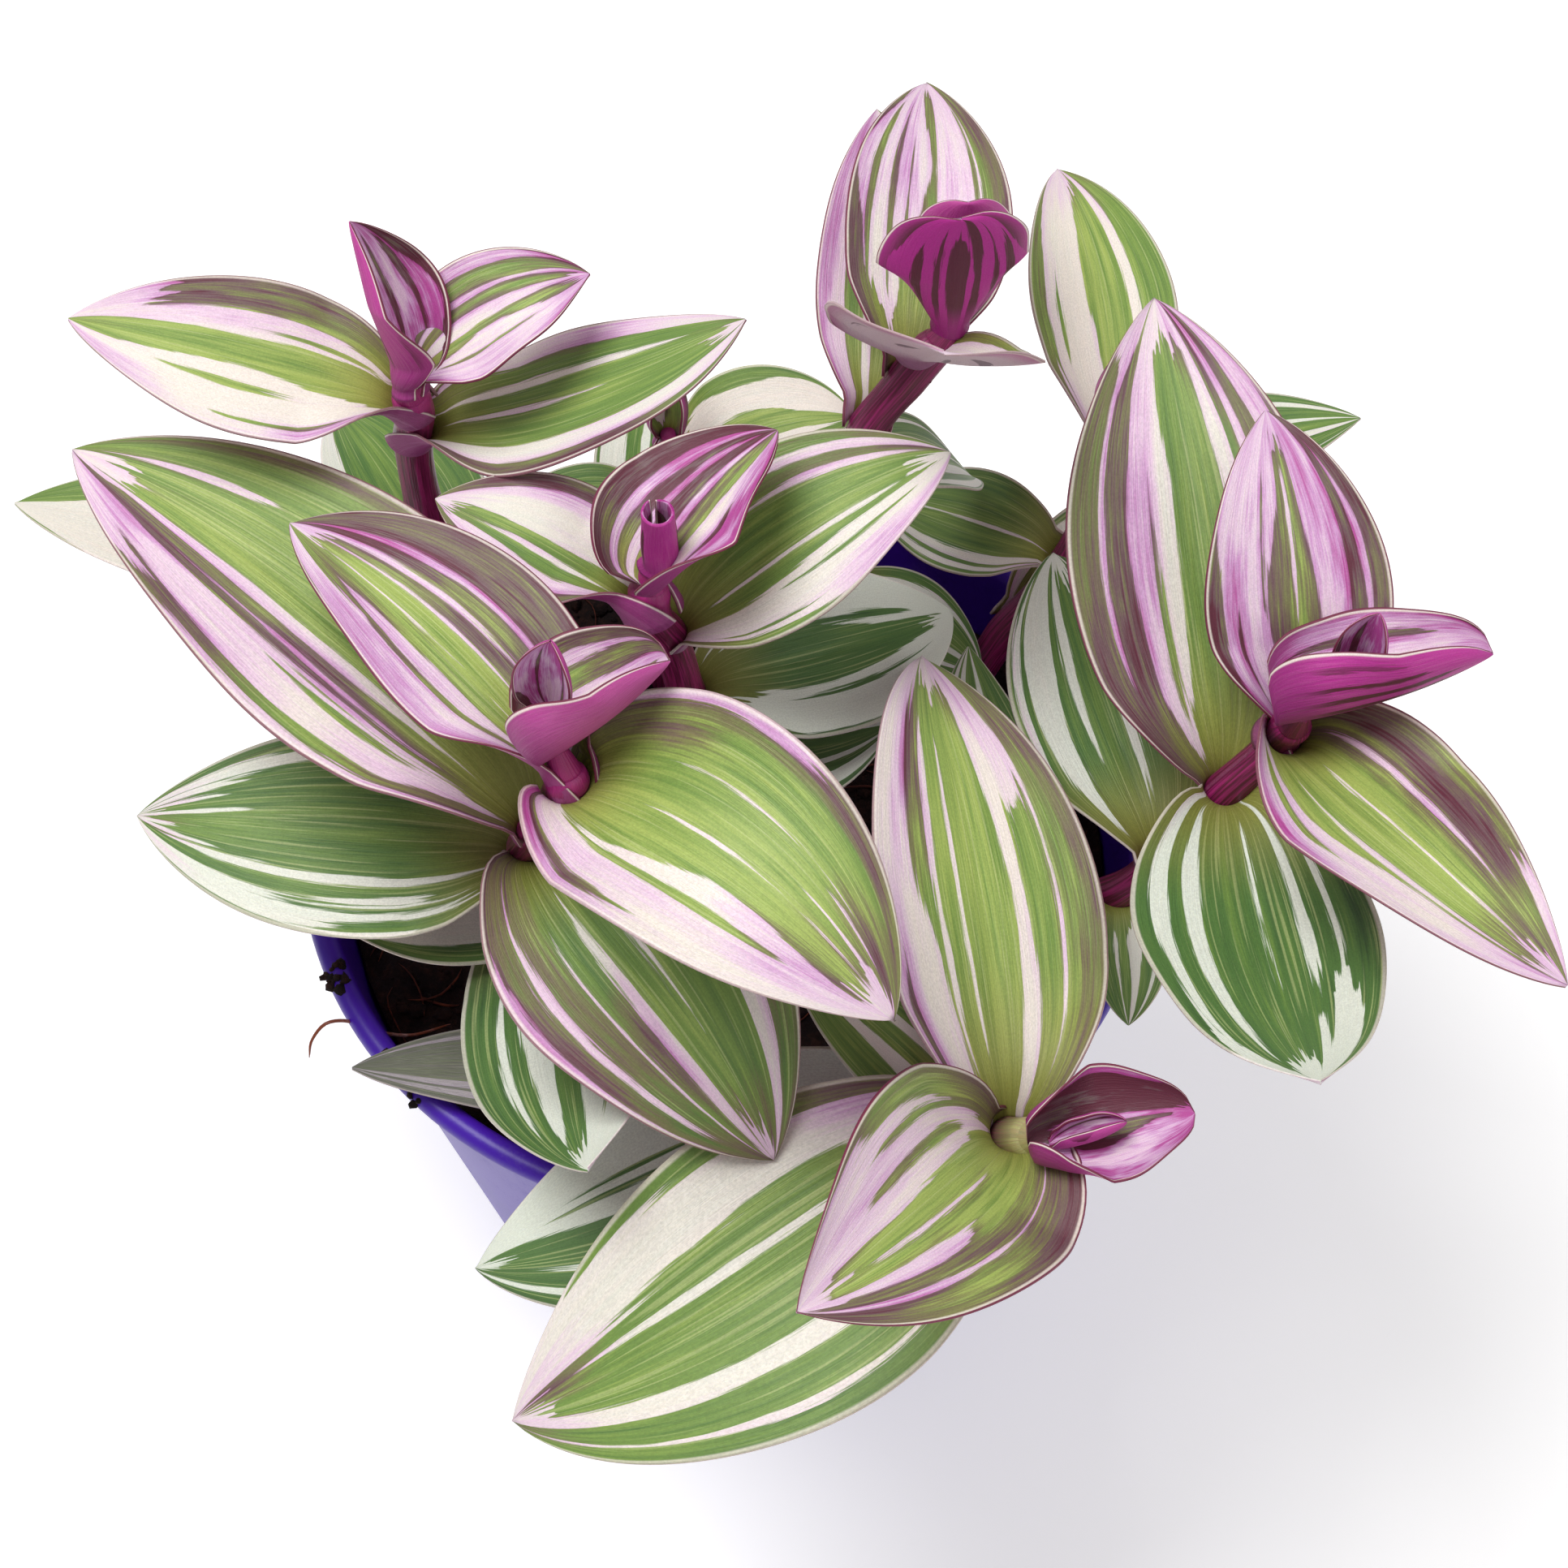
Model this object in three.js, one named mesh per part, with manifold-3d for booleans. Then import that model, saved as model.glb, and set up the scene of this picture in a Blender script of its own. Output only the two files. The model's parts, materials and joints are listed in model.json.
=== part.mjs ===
// A potted tradescantia: a plain tapered plastic pot, soil filled to just under
// its rim, eight leafy stems that stand in the soil, a furled young shoot on
// top of each stem, and one fallen leaf that lies across the rim.
// Millimetres and degrees. +Z is up and the origin is the middle of the pot's underside.
import * as THREE from 'three';
import { mergeVertices } from 'three/addons/utils/BufferGeometryUtils.js';
import Module from 'manifold-3d';

const wasm = await Module();
wasm.setup();

// Pot
const RIM_RADIUS = 60;
const POT_HEIGHT = 108;
const BASE_RADIUS = 42;
const WALL = 1.4;
const FLOOR = 2;
const BEAD_RADIUS = 1.8;
const BEAD_STARTS = -120;
const BEAD_ENDS = 160;
const BEAD_TURN = 35;
const BASE_CHAMFER = 1.5;
const POT_SIDES = 40;
const DRAIN_HOLES = 6;
const DRAIN_RADIUS = 3;
const DRAIN_CIRCLE = 27;
const HOLE_SIDES = 12;

// Soil
const SOIL_BELOW_BEAD = 12;
const SOIL_LUMP = 1.1;
const LUMP_WAVE = 0.2;
const SOIL_RINGS = 5;
const SOIL_SIDES = 32;
const GAP = 0.3;

// Stems and leaves
const STEM_RADIUS = 2.5;
const STEM_SIDES = 8;
const STEPS_PER_NODE = 2;
const BURIED = 26;
const UPRIGHT_ABOVE_SOIL = 2;
const HOLE_RADIUS = 3.4;
const HOLE_TOP = 9;
const THICKNESS = 0.8;
const WIDEST_AT = 0.414;
const FULL_NEAR_BASE = 0.6;
const POINTED_AT_TIP = 0.85;
const SHEATH = 0.2;
const SHEATH_RISE = 85;
const SHEATH_HOLD = 0.8;
const ROLLED_BY = 0.3;
const MIDRIB_STEPS = 40;
const BLADE_STATIONS = [0.09, 0.22, 0.4, 0.62, 0.84, 1];
const BLADE_ACROSS = 4;
const FURLED_ACROSS = 6;
const CORE_RADIUS = 1.4;
const CORE_HEIGHT = 4;
const NEXT_LEAF_UP = 0.9;

// How a young leaf differs from a grown one while it is still folded: it starts at the shoot's
// own axis, is full from its base on, has a blunter tip and leans out without a tall sheath.
const FOLDED = { outFromAxis: 0, full: 0.2, pointed: 0.55, held: 0.1, rolledBy: 0.06 };
const ROOT_WIDTH = 3;
const TIP_WIDTH = 0.8;

// The bead's middle is the level that heights in the plan below start from.
const BEAD_LEVEL = POT_HEIGHT - BEAD_RADIUS;
const BEAD_CENTRE = RIM_RADIUS - BEAD_RADIUS;
const SOIL_LEVEL = -SOIL_BELOW_BEAD;

const rad = THREE.MathUtils.degToRad;
const clamp = THREE.MathUtils.clamp;
const lerp = THREE.MathUtils.lerp;

// The plan of the plant. Each stem runs through its points [x, y, height over the bead],
// where node 0 is its foot at the soil. A leaf grows from a node towards its heading
// (anticlockwise from +X) at its rise over the level; bend is how much it arches, cup how
// far each edge curls up, roll its turn about its midrib and sway its sideways curve.
const STEMS = {
  a: {
    path: [[-34, 22, -12], [-38, 27, 10], [-41, 30, 35], [-41, 30, 50], [-40, 29, 57], [-40, 28, 62]],
    leaves: [
      { node: 1, heading: 170, rise: 10, long: 64, wide: 26, bend: 12, cup: 18, roll: 8, sway: 0 },
      { node: 1, heading: 118, rise: -8, long: 46, wide: 22, bend: 20, cup: 20, roll: 0, sway: 8 },
      { node: 3, heading: 0, rise: 28, long: 50, wide: 22, bend: -4, cup: 15, roll: -2, sway: 16 },
      { node: 4, heading: 174, rise: 16, long: 44, wide: 23, bend: 10, cup: 17, roll: -8, sway: -4 },
    ],
    shoot: [
      { ...FOLDED, heading: 122, rise: 72, long: 25, wide: 17, bend: 4, cup: 80, roll: 52, sway: 0 },
      { heading: 21, rise: 24, long: 27, wide: 17, bend: 18, cup: 32, roll: 10, sway: -6 },
    ],
  },
  b: {
    path: [
      [-18, -12, -12], [-22, -15, 8], [-25, -17, 22], [-25, -22, 33],
      [-23, -25, 42], [-19, -27, 55], [-18, -28, 61], [-17, -27, 64.5],
    ],
    leaves: [
      { node: 1, heading: -83, rise: 24, long: 58, wide: 30, bend: -15, cup: 13, roll: 18, sway: 2 },
      { node: 1, heading: 200, rise: 26, long: 36, wide: 21, bend: 6, cup: 16, roll: -10, sway: -6 },
      { node: 2, heading: 177, rise: 3, long: 52, wide: 29, bend: 14, cup: 18, roll: -14, sway: -11 },
      { node: 3, heading: -52, rise: -11, long: 54, wide: 35, bend: 29, cup: 20, roll: 5, sway: -1 },
      { node: 4, heading: 141, rise: 6, long: 80, wide: 36, bend: 7, cup: 21, roll: 0, sway: 9 },
      { node: 5, heading: -41, rise: 8, long: 58, wide: 33, bend: 46, cup: 36, roll: 9, sway: -2 },
      { node: 6, heading: 138, rise: 5, long: 49, wide: 25, bend: 16, cup: 22, roll: 6, sway: 11 },
    ],
    shoot: [
      {
        ...FOLDED, outFromAxis: -4.5, heading: 16, rise: 32, long: 22, wide: 22, bend: -20, cup: 88,
        roll: -36, sway: 0,
      },
      { ...FOLDED, heading: 62, rise: 68, long: 16, wide: 14, bend: 2, cup: 100, roll: 0, sway: 0 },
    ],
  },
  c: {
    path: [[-2, 8, -12], [-3, 6, 10], [-5, 4, 28], [-7, 3, 44], [-9, 2, 51], [-9, 2, 56], [-8, 1, 61]],
    leaves: [
      { node: 1, heading: -5, rise: 23, long: 27, wide: 16, bend: -7, cup: 15, roll: 16, sway: 18 },
      { node: 2, heading: 25, rise: -12, long: 40, wide: 24, bend: 14, cup: 18, roll: 18, sway: 14 },
      { node: 3, heading: 24, rise: 24, long: 43, wide: 25, bend: 22, cup: 20, roll: 7, sway: 0 },
      { node: 4, heading: 158, rise: 12, long: 28, wide: 15, bend: 18, cup: 20, roll: -3, sway: 4 },
      { node: 5, heading: 45, rise: 27, long: 28, wide: 18, bend: 24, cup: 22, roll: 10, sway: -9 },
    ],
    shoot: [
      { ...FOLDED, heading: -80, rise: 126, long: 9, wide: 10, bend: 0, cup: 150, roll: 0, sway: 0 },
    ],
  },
  d: {
    path: [[12, 28, -12], [13, 30, 10], [17, 31, 38], [19, 31, 51], [24, 33, 59], [28, 34.6, 64]],
    leaves: [
      { node: 1, heading: -16, rise: -24, long: 25, wide: 15, bend: 22, cup: 20, roll: 0, sway: -9 },
      { node: 2, heading: 36, rise: -44, long: 27, wide: 17, bend: 20, cup: 22, roll: 0, sway: 0 },
      { node: 3, heading: 88, rise: 16, long: 44, wide: 18, bend: 12, cup: 22, roll: 5, sway: 7 },
      { node: 4, heading: 86, rise: 4, long: 46, wide: 23, bend: 18, cup: 24, roll: 10, sway: 6 },
      { node: 4, heading: -84, rise: 52, long: 33, wide: 29, bend: 8, cup: 24, roll: -16, sway: 0 },
    ],
    shoot: [
      { ...FOLDED, heading: -66, rise: 86, long: 20, wide: 21, bend: -4, cup: 56, roll: 0, sway: 0 },
      { ...FOLDED, heading: -82, rise: 94, long: 21, wide: 14, bend: 2, cup: 60, roll: 0, sway: 0 },
    ],
  },
  e: {
    path: [
      [36, -6, -12], [46, -12, 0], [53, -16, 9], [58, -16, 17], [65, -14, 33],
      [71, -12, 42], [71, -12.2, 44.2], [70.7, -15, 54],
    ],
    leaves: [
      { node: 1, heading: 112, rise: 28, long: 36, wide: 15, bend: 4, cup: 20, roll: 0, sway: -20 },
      { node: 2, heading: -87, rise: -18, long: 17, wide: 11, bend: 14, cup: 20, roll: 0, sway: -6 },
      { node: 3, heading: 104, rise: 0, long: 49, wide: 26, bend: 10, cup: 20, roll: 0, sway: -5 },
      { node: 4, heading: 98, rise: 23, long: 65, wide: 35, bend: 11, cup: 20, roll: -4, sway: 0 },
      { node: 4, heading: -85, rise: 22, long: 58, wide: 31, bend: -24, cup: 11, roll: -3, sway: 3 },
      { node: 5, heading: -59, rise: 20, long: 56, wide: 27, bend: 18, cup: 26, roll: -6, sway: 11 },
      { node: 6, heading: 98, rise: 33, long: 40, wide: 24, bend: 18, cup: 20, roll: -4, sway: 5 },
    ],
    shoot: [
      { ...FOLDED, heading: 2, rise: 24, long: 27, wide: 27, bend: -18, cup: 92, roll: -46, sway: 0 },
      { ...FOLDED, heading: 24, rise: 48, long: 17, wide: 12, bend: 4, cup: 96, roll: 0, sway: 0 },
    ],
  },
  f: {
    path: [[16, -26, -12], [24, -40, 2], [29, -50, 11], [33, -56, 20], [36, -60, 27], [38.5, -61, 31]],
    leaves: [
      { node: 2, heading: -165, rise: -14, long: 65, wide: 33, bend: 10, cup: 19, roll: -3, sway: -10 },
      { node: 3, heading: 139, rise: 12, long: 31, wide: 15, bend: 11, cup: 19, roll: -2, sway: 0 },
      { node: 3, heading: -152, rise: -18, long: 72, wide: 40, bend: 16, cup: 20, roll: -9, sway: -16 },
      { node: 4, heading: 98, rise: 0, long: 70, wide: 32, bend: 18, cup: 24, roll: 20, sway: 3 },
      { node: 4, heading: -128, rise: 33, long: 51, wide: 31, bend: 22, cup: 35, roll: -20, sway: -12 },
    ],
    shoot: [
      { ...FOLDED, heading: 12, rise: 24, long: 19, wide: 19, bend: -10, cup: 74, roll: 12, sway: 0 },
      { ...FOLDED, heading: 8, rise: 40, long: 9, wide: 8, bend: 0, cup: 150, roll: 0, sway: 0 },
    ],
  },
  g: {
    path: [[34, 26, -12], [40, 30, 3], [48, 34, 14], [52, 38, 26], [53, 39, 33], [53, 39, 39]],
    leaves: [
      { node: 1, heading: 30, rise: 4, long: 44, wide: 22, bend: 18, cup: 20, roll: 0, sway: 6 },
      { node: 2, heading: 146, rise: -18, long: 31, wide: 17, bend: 22, cup: 22, roll: -15, sway: -12 },
      { node: 3, heading: 10, rise: 12, long: 36, wide: 17, bend: 10, cup: 20, roll: -4, sway: 0 },
      { node: 4, heading: 96, rise: -2, long: 51, wide: 21, bend: 14, cup: 25, roll: 3, sway: 8 },
    ],
    shoot: [
      { heading: 60, rise: 80, long: 15, wide: 13, bend: 4, cup: 130, roll: 0, sway: 0 },
    ],
  },
  h: {
    path: [[-10, 32, -12], [-10, 38, 6], [-9, 41, 18], [-8, 42, 25], [-8, 42, 31]],
    leaves: [
      { node: 1, heading: 92, rise: -6, long: 34, wide: 19, bend: 30, cup: 20, roll: 0, sway: 0 },
      { node: 2, heading: 190, rise: 2, long: 22, wide: 13, bend: 13, cup: 20, roll: 0, sway: 8 },
      { node: 3, heading: 4, rise: 24, long: 28, wide: 18, bend: 32, cup: 24, roll: 10, sway: -8 },
    ],
    shoot: [
      { heading: 90, rise: 72, long: 13, wide: 12, bend: 4, cup: 130, roll: 0, sway: 0 },
    ],
  },
};

// A leaf that has dropped off and dried a little: it lies on the soil and over the rim.
const FALLEN = { heading: 187, rise: 22, long: 44, wide: 14, bend: 10, cup: 20, roll: 0, sway: -2 };
const FALLEN_BASE = [-8, -36, -11.2];

const COLOURS = {
  pot: { color: 0x3c1096, roughness: 0.42, metalness: 0 },
  soil: { color: 0x1c120e, roughness: 0.95, metalness: 0 },
  leafy: { color: 0x6b9440, roughness: 0.5, metalness: 0 },
  young: { color: 0xb0489c, roughness: 0.45, metalness: 0 },
  dried: { color: 0xb5a9a6, roughness: 0.8, metalness: 0 },
};

// Solids

function toSolid(geometry) {
  const bare = geometry.clone();
  for (const name of Object.keys(bare.attributes)) {
    if (name !== 'position') bare.deleteAttribute(name);
  }
  const merged = mergeVertices(bare, 1e-4);
  return new wasm.Manifold(new wasm.Mesh({
    numProp: 3,
    vertProperties: new Float32Array(merged.attributes.position.array),
    triVerts: new Uint32Array(merged.index.array),
  }));
}

function toGeometry(solid) {
  const mesh = solid.getMesh();
  const geometry = new THREE.BufferGeometry();
  geometry.setAttribute('position', new THREE.BufferAttribute(mesh.vertProperties, 3));
  geometry.setIndex(new THREE.BufferAttribute(mesh.triVerts, 1));
  return geometry;
}

function piece(name, solid, finish) {
  const geometry = toGeometry(solid);
  geometry.computeVertexNormals();
  const mesh = new THREE.Mesh(geometry, new THREE.MeshStandardMaterial(finish));
  mesh.name = name;
  return mesh;
}

function pointAt([x, y, height]) {
  return new THREE.Vector3(x, y, BEAD_LEVEL + height);
}

// Closed grid between an upper and a lower sheet of the same rows and columns.
// Both sheets are split along the same diagonal, so they never cross.
function closedSheet(upper, lower) {
  const rows = upper.length;
  const columns = upper[0].length;
  const positions = [];
  for (const sheet of [upper, lower]) {
    for (const row of sheet) {
      for (const point of row) positions.push(point.x, point.y, point.z);
    }
  }
  const top = (i, j) => i * columns + j;
  const under = (i, j) => rows * columns + i * columns + j;
  const index = [];
  const quad = (a, b, c, d) => index.push(a, b, c, a, c, d);
  for (let i = 0; i + 1 < rows; i += 1) {
    for (let j = 0; j + 1 < columns; j += 1) {
      quad(top(i, j), top(i + 1, j), top(i + 1, j + 1), top(i, j + 1));
      index.push(under(i, j), under(i + 1, j + 1), under(i + 1, j));
      index.push(under(i, j), under(i, j + 1), under(i + 1, j + 1));
    }
    quad(top(i, 0), under(i, 0), under(i + 1, 0), top(i + 1, 0));
    const last = columns - 1;
    quad(top(i, last), top(i + 1, last), under(i + 1, last), under(i, last));
  }
  for (let j = 0; j + 1 < columns; j += 1) {
    quad(top(0, j), top(0, j + 1), under(0, j + 1), under(0, j));
    const end = rows - 1;
    quad(top(end, j), under(end, j), under(end, j + 1), top(end, j + 1));
  }
  const geometry = new THREE.BufferGeometry();
  geometry.setAttribute('position', new THREE.Float32BufferAttribute(positions, 3));
  geometry.setIndex(index);
  return geometry;
}

// Pot

function wallRadius(height) {
  const topOfWall = BEAD_LEVEL - BEAD_RADIUS;
  const share = clamp((height - FLOOR) / (topOfWall - FLOOR), 0, 1);
  return lerp(BASE_RADIUS - WALL, BEAD_CENTRE - BEAD_RADIUS - GAP, share);
}

function potProfile() {
  const points = [
    new THREE.Vector2(0, 0),
    new THREE.Vector2(BASE_RADIUS - BASE_CHAMFER, 0),
    new THREE.Vector2(BASE_RADIUS, BASE_CHAMFER),
  ];
  for (let degrees = BEAD_STARTS; degrees <= BEAD_ENDS; degrees += BEAD_TURN) {
    points.push(new THREE.Vector2(
      BEAD_CENTRE + BEAD_RADIUS * Math.cos(rad(degrees)),
      BEAD_LEVEL + BEAD_RADIUS * Math.sin(rad(degrees)),
    ));
  }
  points.push(new THREE.Vector2(wallRadius(BEAD_LEVEL), BEAD_LEVEL - BEAD_RADIUS));
  points.push(new THREE.Vector2(wallRadius(FLOOR), FLOOR));
  points.push(new THREE.Vector2(0, FLOOR));
  return points;
}

function potSolid() {
  const body = new THREE.LatheGeometry(potProfile(), POT_SIDES).rotateX(Math.PI / 2);
  let solid = toSolid(body);
  for (let hole = 0; hole < DRAIN_HOLES; hole += 1) {
    const angle = (hole / DRAIN_HOLES) * 2 * Math.PI;
    const cutter = new THREE.CylinderGeometry(DRAIN_RADIUS, DRAIN_RADIUS, 3 * FLOOR, HOLE_SIDES);
    cutter.rotateX(Math.PI / 2);
    cutter.translate(DRAIN_CIRCLE * Math.cos(angle), DRAIN_CIRCLE * Math.sin(angle), FLOOR / 2);
    solid = solid.subtract(toSolid(cutter));
  }
  return solid;
}

// Soil

function soilHeight(x, y) {
  const broad = Math.sin(LUMP_WAVE * x) * Math.cos(LUMP_WAVE * y);
  const small = Math.sin(2 * LUMP_WAVE * (x - y)) / 2;
  return BEAD_LEVEL + SOIL_LEVEL + SOIL_LUMP * (broad + small);
}

function soilRing(radius, heightAt) {
  return Array.from({ length: SOIL_SIDES }, (_, side) => {
    const angle = (side / SOIL_SIDES) * 2 * Math.PI;
    const x = radius * Math.cos(angle);
    const y = radius * Math.sin(angle);
    return [x, y, heightAt(x, y)];
  });
}

// A lumpy top, a plain tapered side and a flat bottom, closed ring by ring.
function soilSolid() {
  const topRadius = wallRadius(BEAD_LEVEL + SOIL_LEVEL - 2 * SOIL_LUMP) - GAP;
  const bottom = FLOOR + GAP;
  const positions = [0, 0, soilHeight(0, 0), 0, 0, bottom];
  for (let ring = 1; ring <= SOIL_RINGS; ring += 1) {
    positions.push(...soilRing((topRadius * ring) / SOIL_RINGS, soilHeight).flat());
  }
  positions.push(...soilRing(wallRadius(FLOOR) - GAP, () => bottom).flat());
  const at = (ring, side) => 2 + (ring - 1) * SOIL_SIDES + (side % SOIL_SIDES);
  const bottomRing = SOIL_RINGS + 1;
  const index = [];
  for (let side = 0; side < SOIL_SIDES; side += 1) {
    index.push(0, at(1, side), at(1, side + 1));
    index.push(1, at(bottomRing, side + 1), at(bottomRing, side));
    for (let ring = 1; ring < bottomRing; ring += 1) {
      index.push(at(ring, side), at(ring + 1, side), at(ring + 1, side + 1));
      index.push(at(ring, side), at(ring + 1, side + 1), at(ring, side + 1));
    }
  }
  const geometry = new THREE.BufferGeometry();
  geometry.setAttribute('position', new THREE.Float32BufferAttribute(positions, 3));
  geometry.setIndex(index);
  return toSolid(geometry);
}

// A plain upright hole for one stem's buried end, with room for its lean near the top.
function stemHole(foot) {
  const depth = BURIED + GAP;
  const cutter = new THREE.CylinderGeometry(HOLE_RADIUS, HOLE_RADIUS, depth + HOLE_TOP, HOLE_SIDES);
  cutter.rotateX(Math.PI / 2);
  cutter.translate(foot.x, foot.y, foot.z - depth + (depth + HOLE_TOP) / 2);
  return toSolid(cutter);
}

// Stems and leaves

function stemSolid(path) {
  const points = path.map(pointAt);
  const foot = points[0];
  const below = [BURIED, BURIED / 2].map((depth) => foot.clone().setZ(foot.z - depth));
  const above = foot.clone().setZ(foot.z + UPRIGHT_ABOVE_SOIL);
  const way = [...below, foot, above, ...points.slice(1)];
  const curve = new THREE.CatmullRomCurve3(way, false, 'centripetal');
  const outline = new THREE.Shape();
  outline.absarc(0, 0, STEM_RADIUS, 0, 2 * Math.PI, false);
  const tube = new THREE.ExtrudeGeometry(outline, {
    extrudePath: curve,
    steps: STEPS_PER_NODE * points.length,
    curveSegments: STEM_SIDES / 2,
    bevelEnabled: false,
  });
  return toSolid(tube);
}

// Share of the full half width at a station along the blade: full near the clasping base,
// widest before the middle and running out to a point.
function ovate(leaf, station) {
  const near = (station / WIDEST_AT) ** (leaf.full ?? FULL_NEAR_BASE);
  const far = ((1 - station) / (1 - WIDEST_AT)) ** (leaf.pointed ?? POINTED_AT_TIP);
  return near * far;
}

// Where the midrib runs at a station: its direction's rise and heading in radians.
function midribAngles(leaf, station) {
  const rise = leaf.rise + leaf.bend * (1 - 2 * station);
  const inSheath = clamp(1 - station / SHEATH, 0, 1) ** 2;
  const held = leaf.held ?? SHEATH_HOLD;
  return {
    rise: rad(rise + held * (SHEATH_RISE - rise) * inSheath),
    heading: rad(leaf.heading + leaf.sway * (2 * station - 1)),
  };
}

function midribDirection(leaf, station) {
  const { rise, heading } = midribAngles(leaf, station);
  const level = Math.cos(rise);
  return new THREE.Vector3(level * Math.cos(heading), level * Math.sin(heading), Math.sin(rise));
}

function midribPoint(leaf, base, station) {
  const start = rad(leaf.heading - leaf.sway);
  const away = leaf.outFromAxis ?? STEM_RADIUS;
  const point = new THREE.Vector3(Math.cos(start), Math.sin(start), 0).multiplyScalar(away).add(base);
  for (let step = 0; step < MIDRIB_STEPS; step += 1) {
    const middle = (station * (step + 0.5)) / MIDRIB_STEPS;
    point.addScaledVector(midribDirection(leaf, middle), (leaf.long * station) / MIDRIB_STEPS);
  }
  return point;
}

// One row of points across the blade, with the direction its upper face looks in at each.
function bladeRow(leaf, base, station, across) {
  const direction = midribDirection(leaf, station);
  const { heading } = midribAngles(leaf, station);
  const left = new THREE.Vector3(-Math.sin(heading), Math.cos(heading), 0);
  const up = new THREE.Vector3().crossVectors(direction, left);
  const turn = rad(leaf.roll) * clamp(station / (leaf.rolledBy ?? ROLLED_BY), 0, 1);
  const side = left.clone().multiplyScalar(Math.cos(turn)).addScaledVector(up, Math.sin(turn));
  const face = up.clone().multiplyScalar(Math.cos(turn)).addScaledVector(left, -Math.sin(turn));
  const halfWidth = Math.max((leaf.wide / 2) * ovate(leaf, station), TIP_WIDTH / 2);
  const curl = rad(leaf.cup);
  const middle = midribPoint(leaf, base, station);
  return across.map((share) => {
    const angle = curl * share;
    const point = middle.clone()
      .addScaledVector(side, (halfWidth / curl) * Math.sin(angle))
      .addScaledVector(face, (halfWidth / curl) * (1 - Math.cos(angle)));
    const normal = face.clone().multiplyScalar(Math.cos(angle)).addScaledVector(side, -Math.sin(angle));
    return { point, normal };
  });
}

// The blade starts as a narrow row on the stem's own axis, or behind it if the leaf wraps it.
function rootRow(leaf, base, across) {
  const heading = rad(leaf.heading - leaf.sway);
  const behind = Math.min(leaf.outFromAxis ?? 0, 0);
  const start = new THREE.Vector3(Math.cos(heading), Math.sin(heading), 0).multiplyScalar(behind);
  const left = new THREE.Vector3(-Math.sin(heading), Math.cos(heading), 0);
  return across.map((share) => ({
    point: base.clone().add(start).addScaledVector(left, (share * ROOT_WIDTH) / 2),
    normal: new THREE.Vector3(0, 0, 1),
  }));
}

function leafSolid(leaf, base, columns) {
  const across = Array.from({ length: columns + 1 }, (_, j) => (2 * j) / columns - 1);
  const rows = [rootRow(leaf, base, across)];
  for (const station of BLADE_STATIONS) rows.push(bladeRow(leaf, base, station, across));
  const offset = (row, by) => row.map(({ point, normal }) => point.clone().addScaledVector(normal, by));
  const upper = rows.map((row) => offset(row, THICKNESS / 2));
  const lower = rows.map((row) => offset(row, -THICKNESS / 2));
  return toSolid(closedSheet(upper, lower));
}

function leafyStem({ path, leaves }) {
  let solid = stemSolid(path);
  for (const leaf of leaves) {
    solid = solid.add(leafSolid(leaf, pointAt(path[leaf.node]), BLADE_ACROSS));
  }
  return solid;
}

// A young shoot stands on the stem's cut top, on a short core that its leaves wrap.
function shootSolid({ path, shoot }) {
  const top = pointAt(path[path.length - 1]);
  const below = pointAt(path[path.length - 2]);
  const direction = top.clone().sub(below).normalize();
  const core = new THREE.CylinderGeometry(CORE_RADIUS, CORE_RADIUS, CORE_HEIGHT, STEM_SIDES);
  core.applyQuaternion(new THREE.Quaternion().setFromUnitVectors(new THREE.Vector3(0, 1, 0), direction));
  const middle = top.clone().addScaledVector(direction, CORE_HEIGHT / 2 + GAP);
  core.translate(middle.x, middle.y, middle.z);
  let solid = toSolid(core);
  for (const [order, leaf] of shoot.entries()) {
    const from = middle.clone().addScaledVector(direction, order * NEXT_LEAF_UP);
    solid = solid.add(leafSolid({ outFromAxis: CORE_RADIUS, ...leaf }, from, FURLED_ACROSS));
  }
  return solid;
}

// The whole plant in its pot

const group = new THREE.Group();
group.add(piece('pot', potSolid(), COLOURS.pot));

let soil = soilSolid();
for (const stem of Object.values(STEMS)) {
  soil = soil.subtract(stemHole(pointAt(stem.path[0])));
}
group.add(piece('soil', soil, COLOURS.soil));

for (const [letter, stem] of Object.entries(STEMS)) {
  group.add(piece(`leafy_stem_${letter}`, leafyStem(stem), COLOURS.leafy));
  group.add(piece(`young_shoot_${letter}`, shootSolid(stem), COLOURS.young));
}
group.add(piece('fallen_leaf', leafSolid(FALLEN, pointAt(FALLEN_BASE), BLADE_ACROSS), COLOURS.dried));

export default group;
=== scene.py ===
# %% [markdown]
# # A potted tradescantia, dressed around its solids
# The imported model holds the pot, the soil, eight leafy stems, a young shoot on each and one
# fallen leaf as plain solids at their real size. This script loads them as a fixed frame and
# builds the fine pieces that show in the same places.
# Everything is in metres, +Z is up and the pot stands on z = 0.

# %% Load the frame
import json
import math

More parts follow.
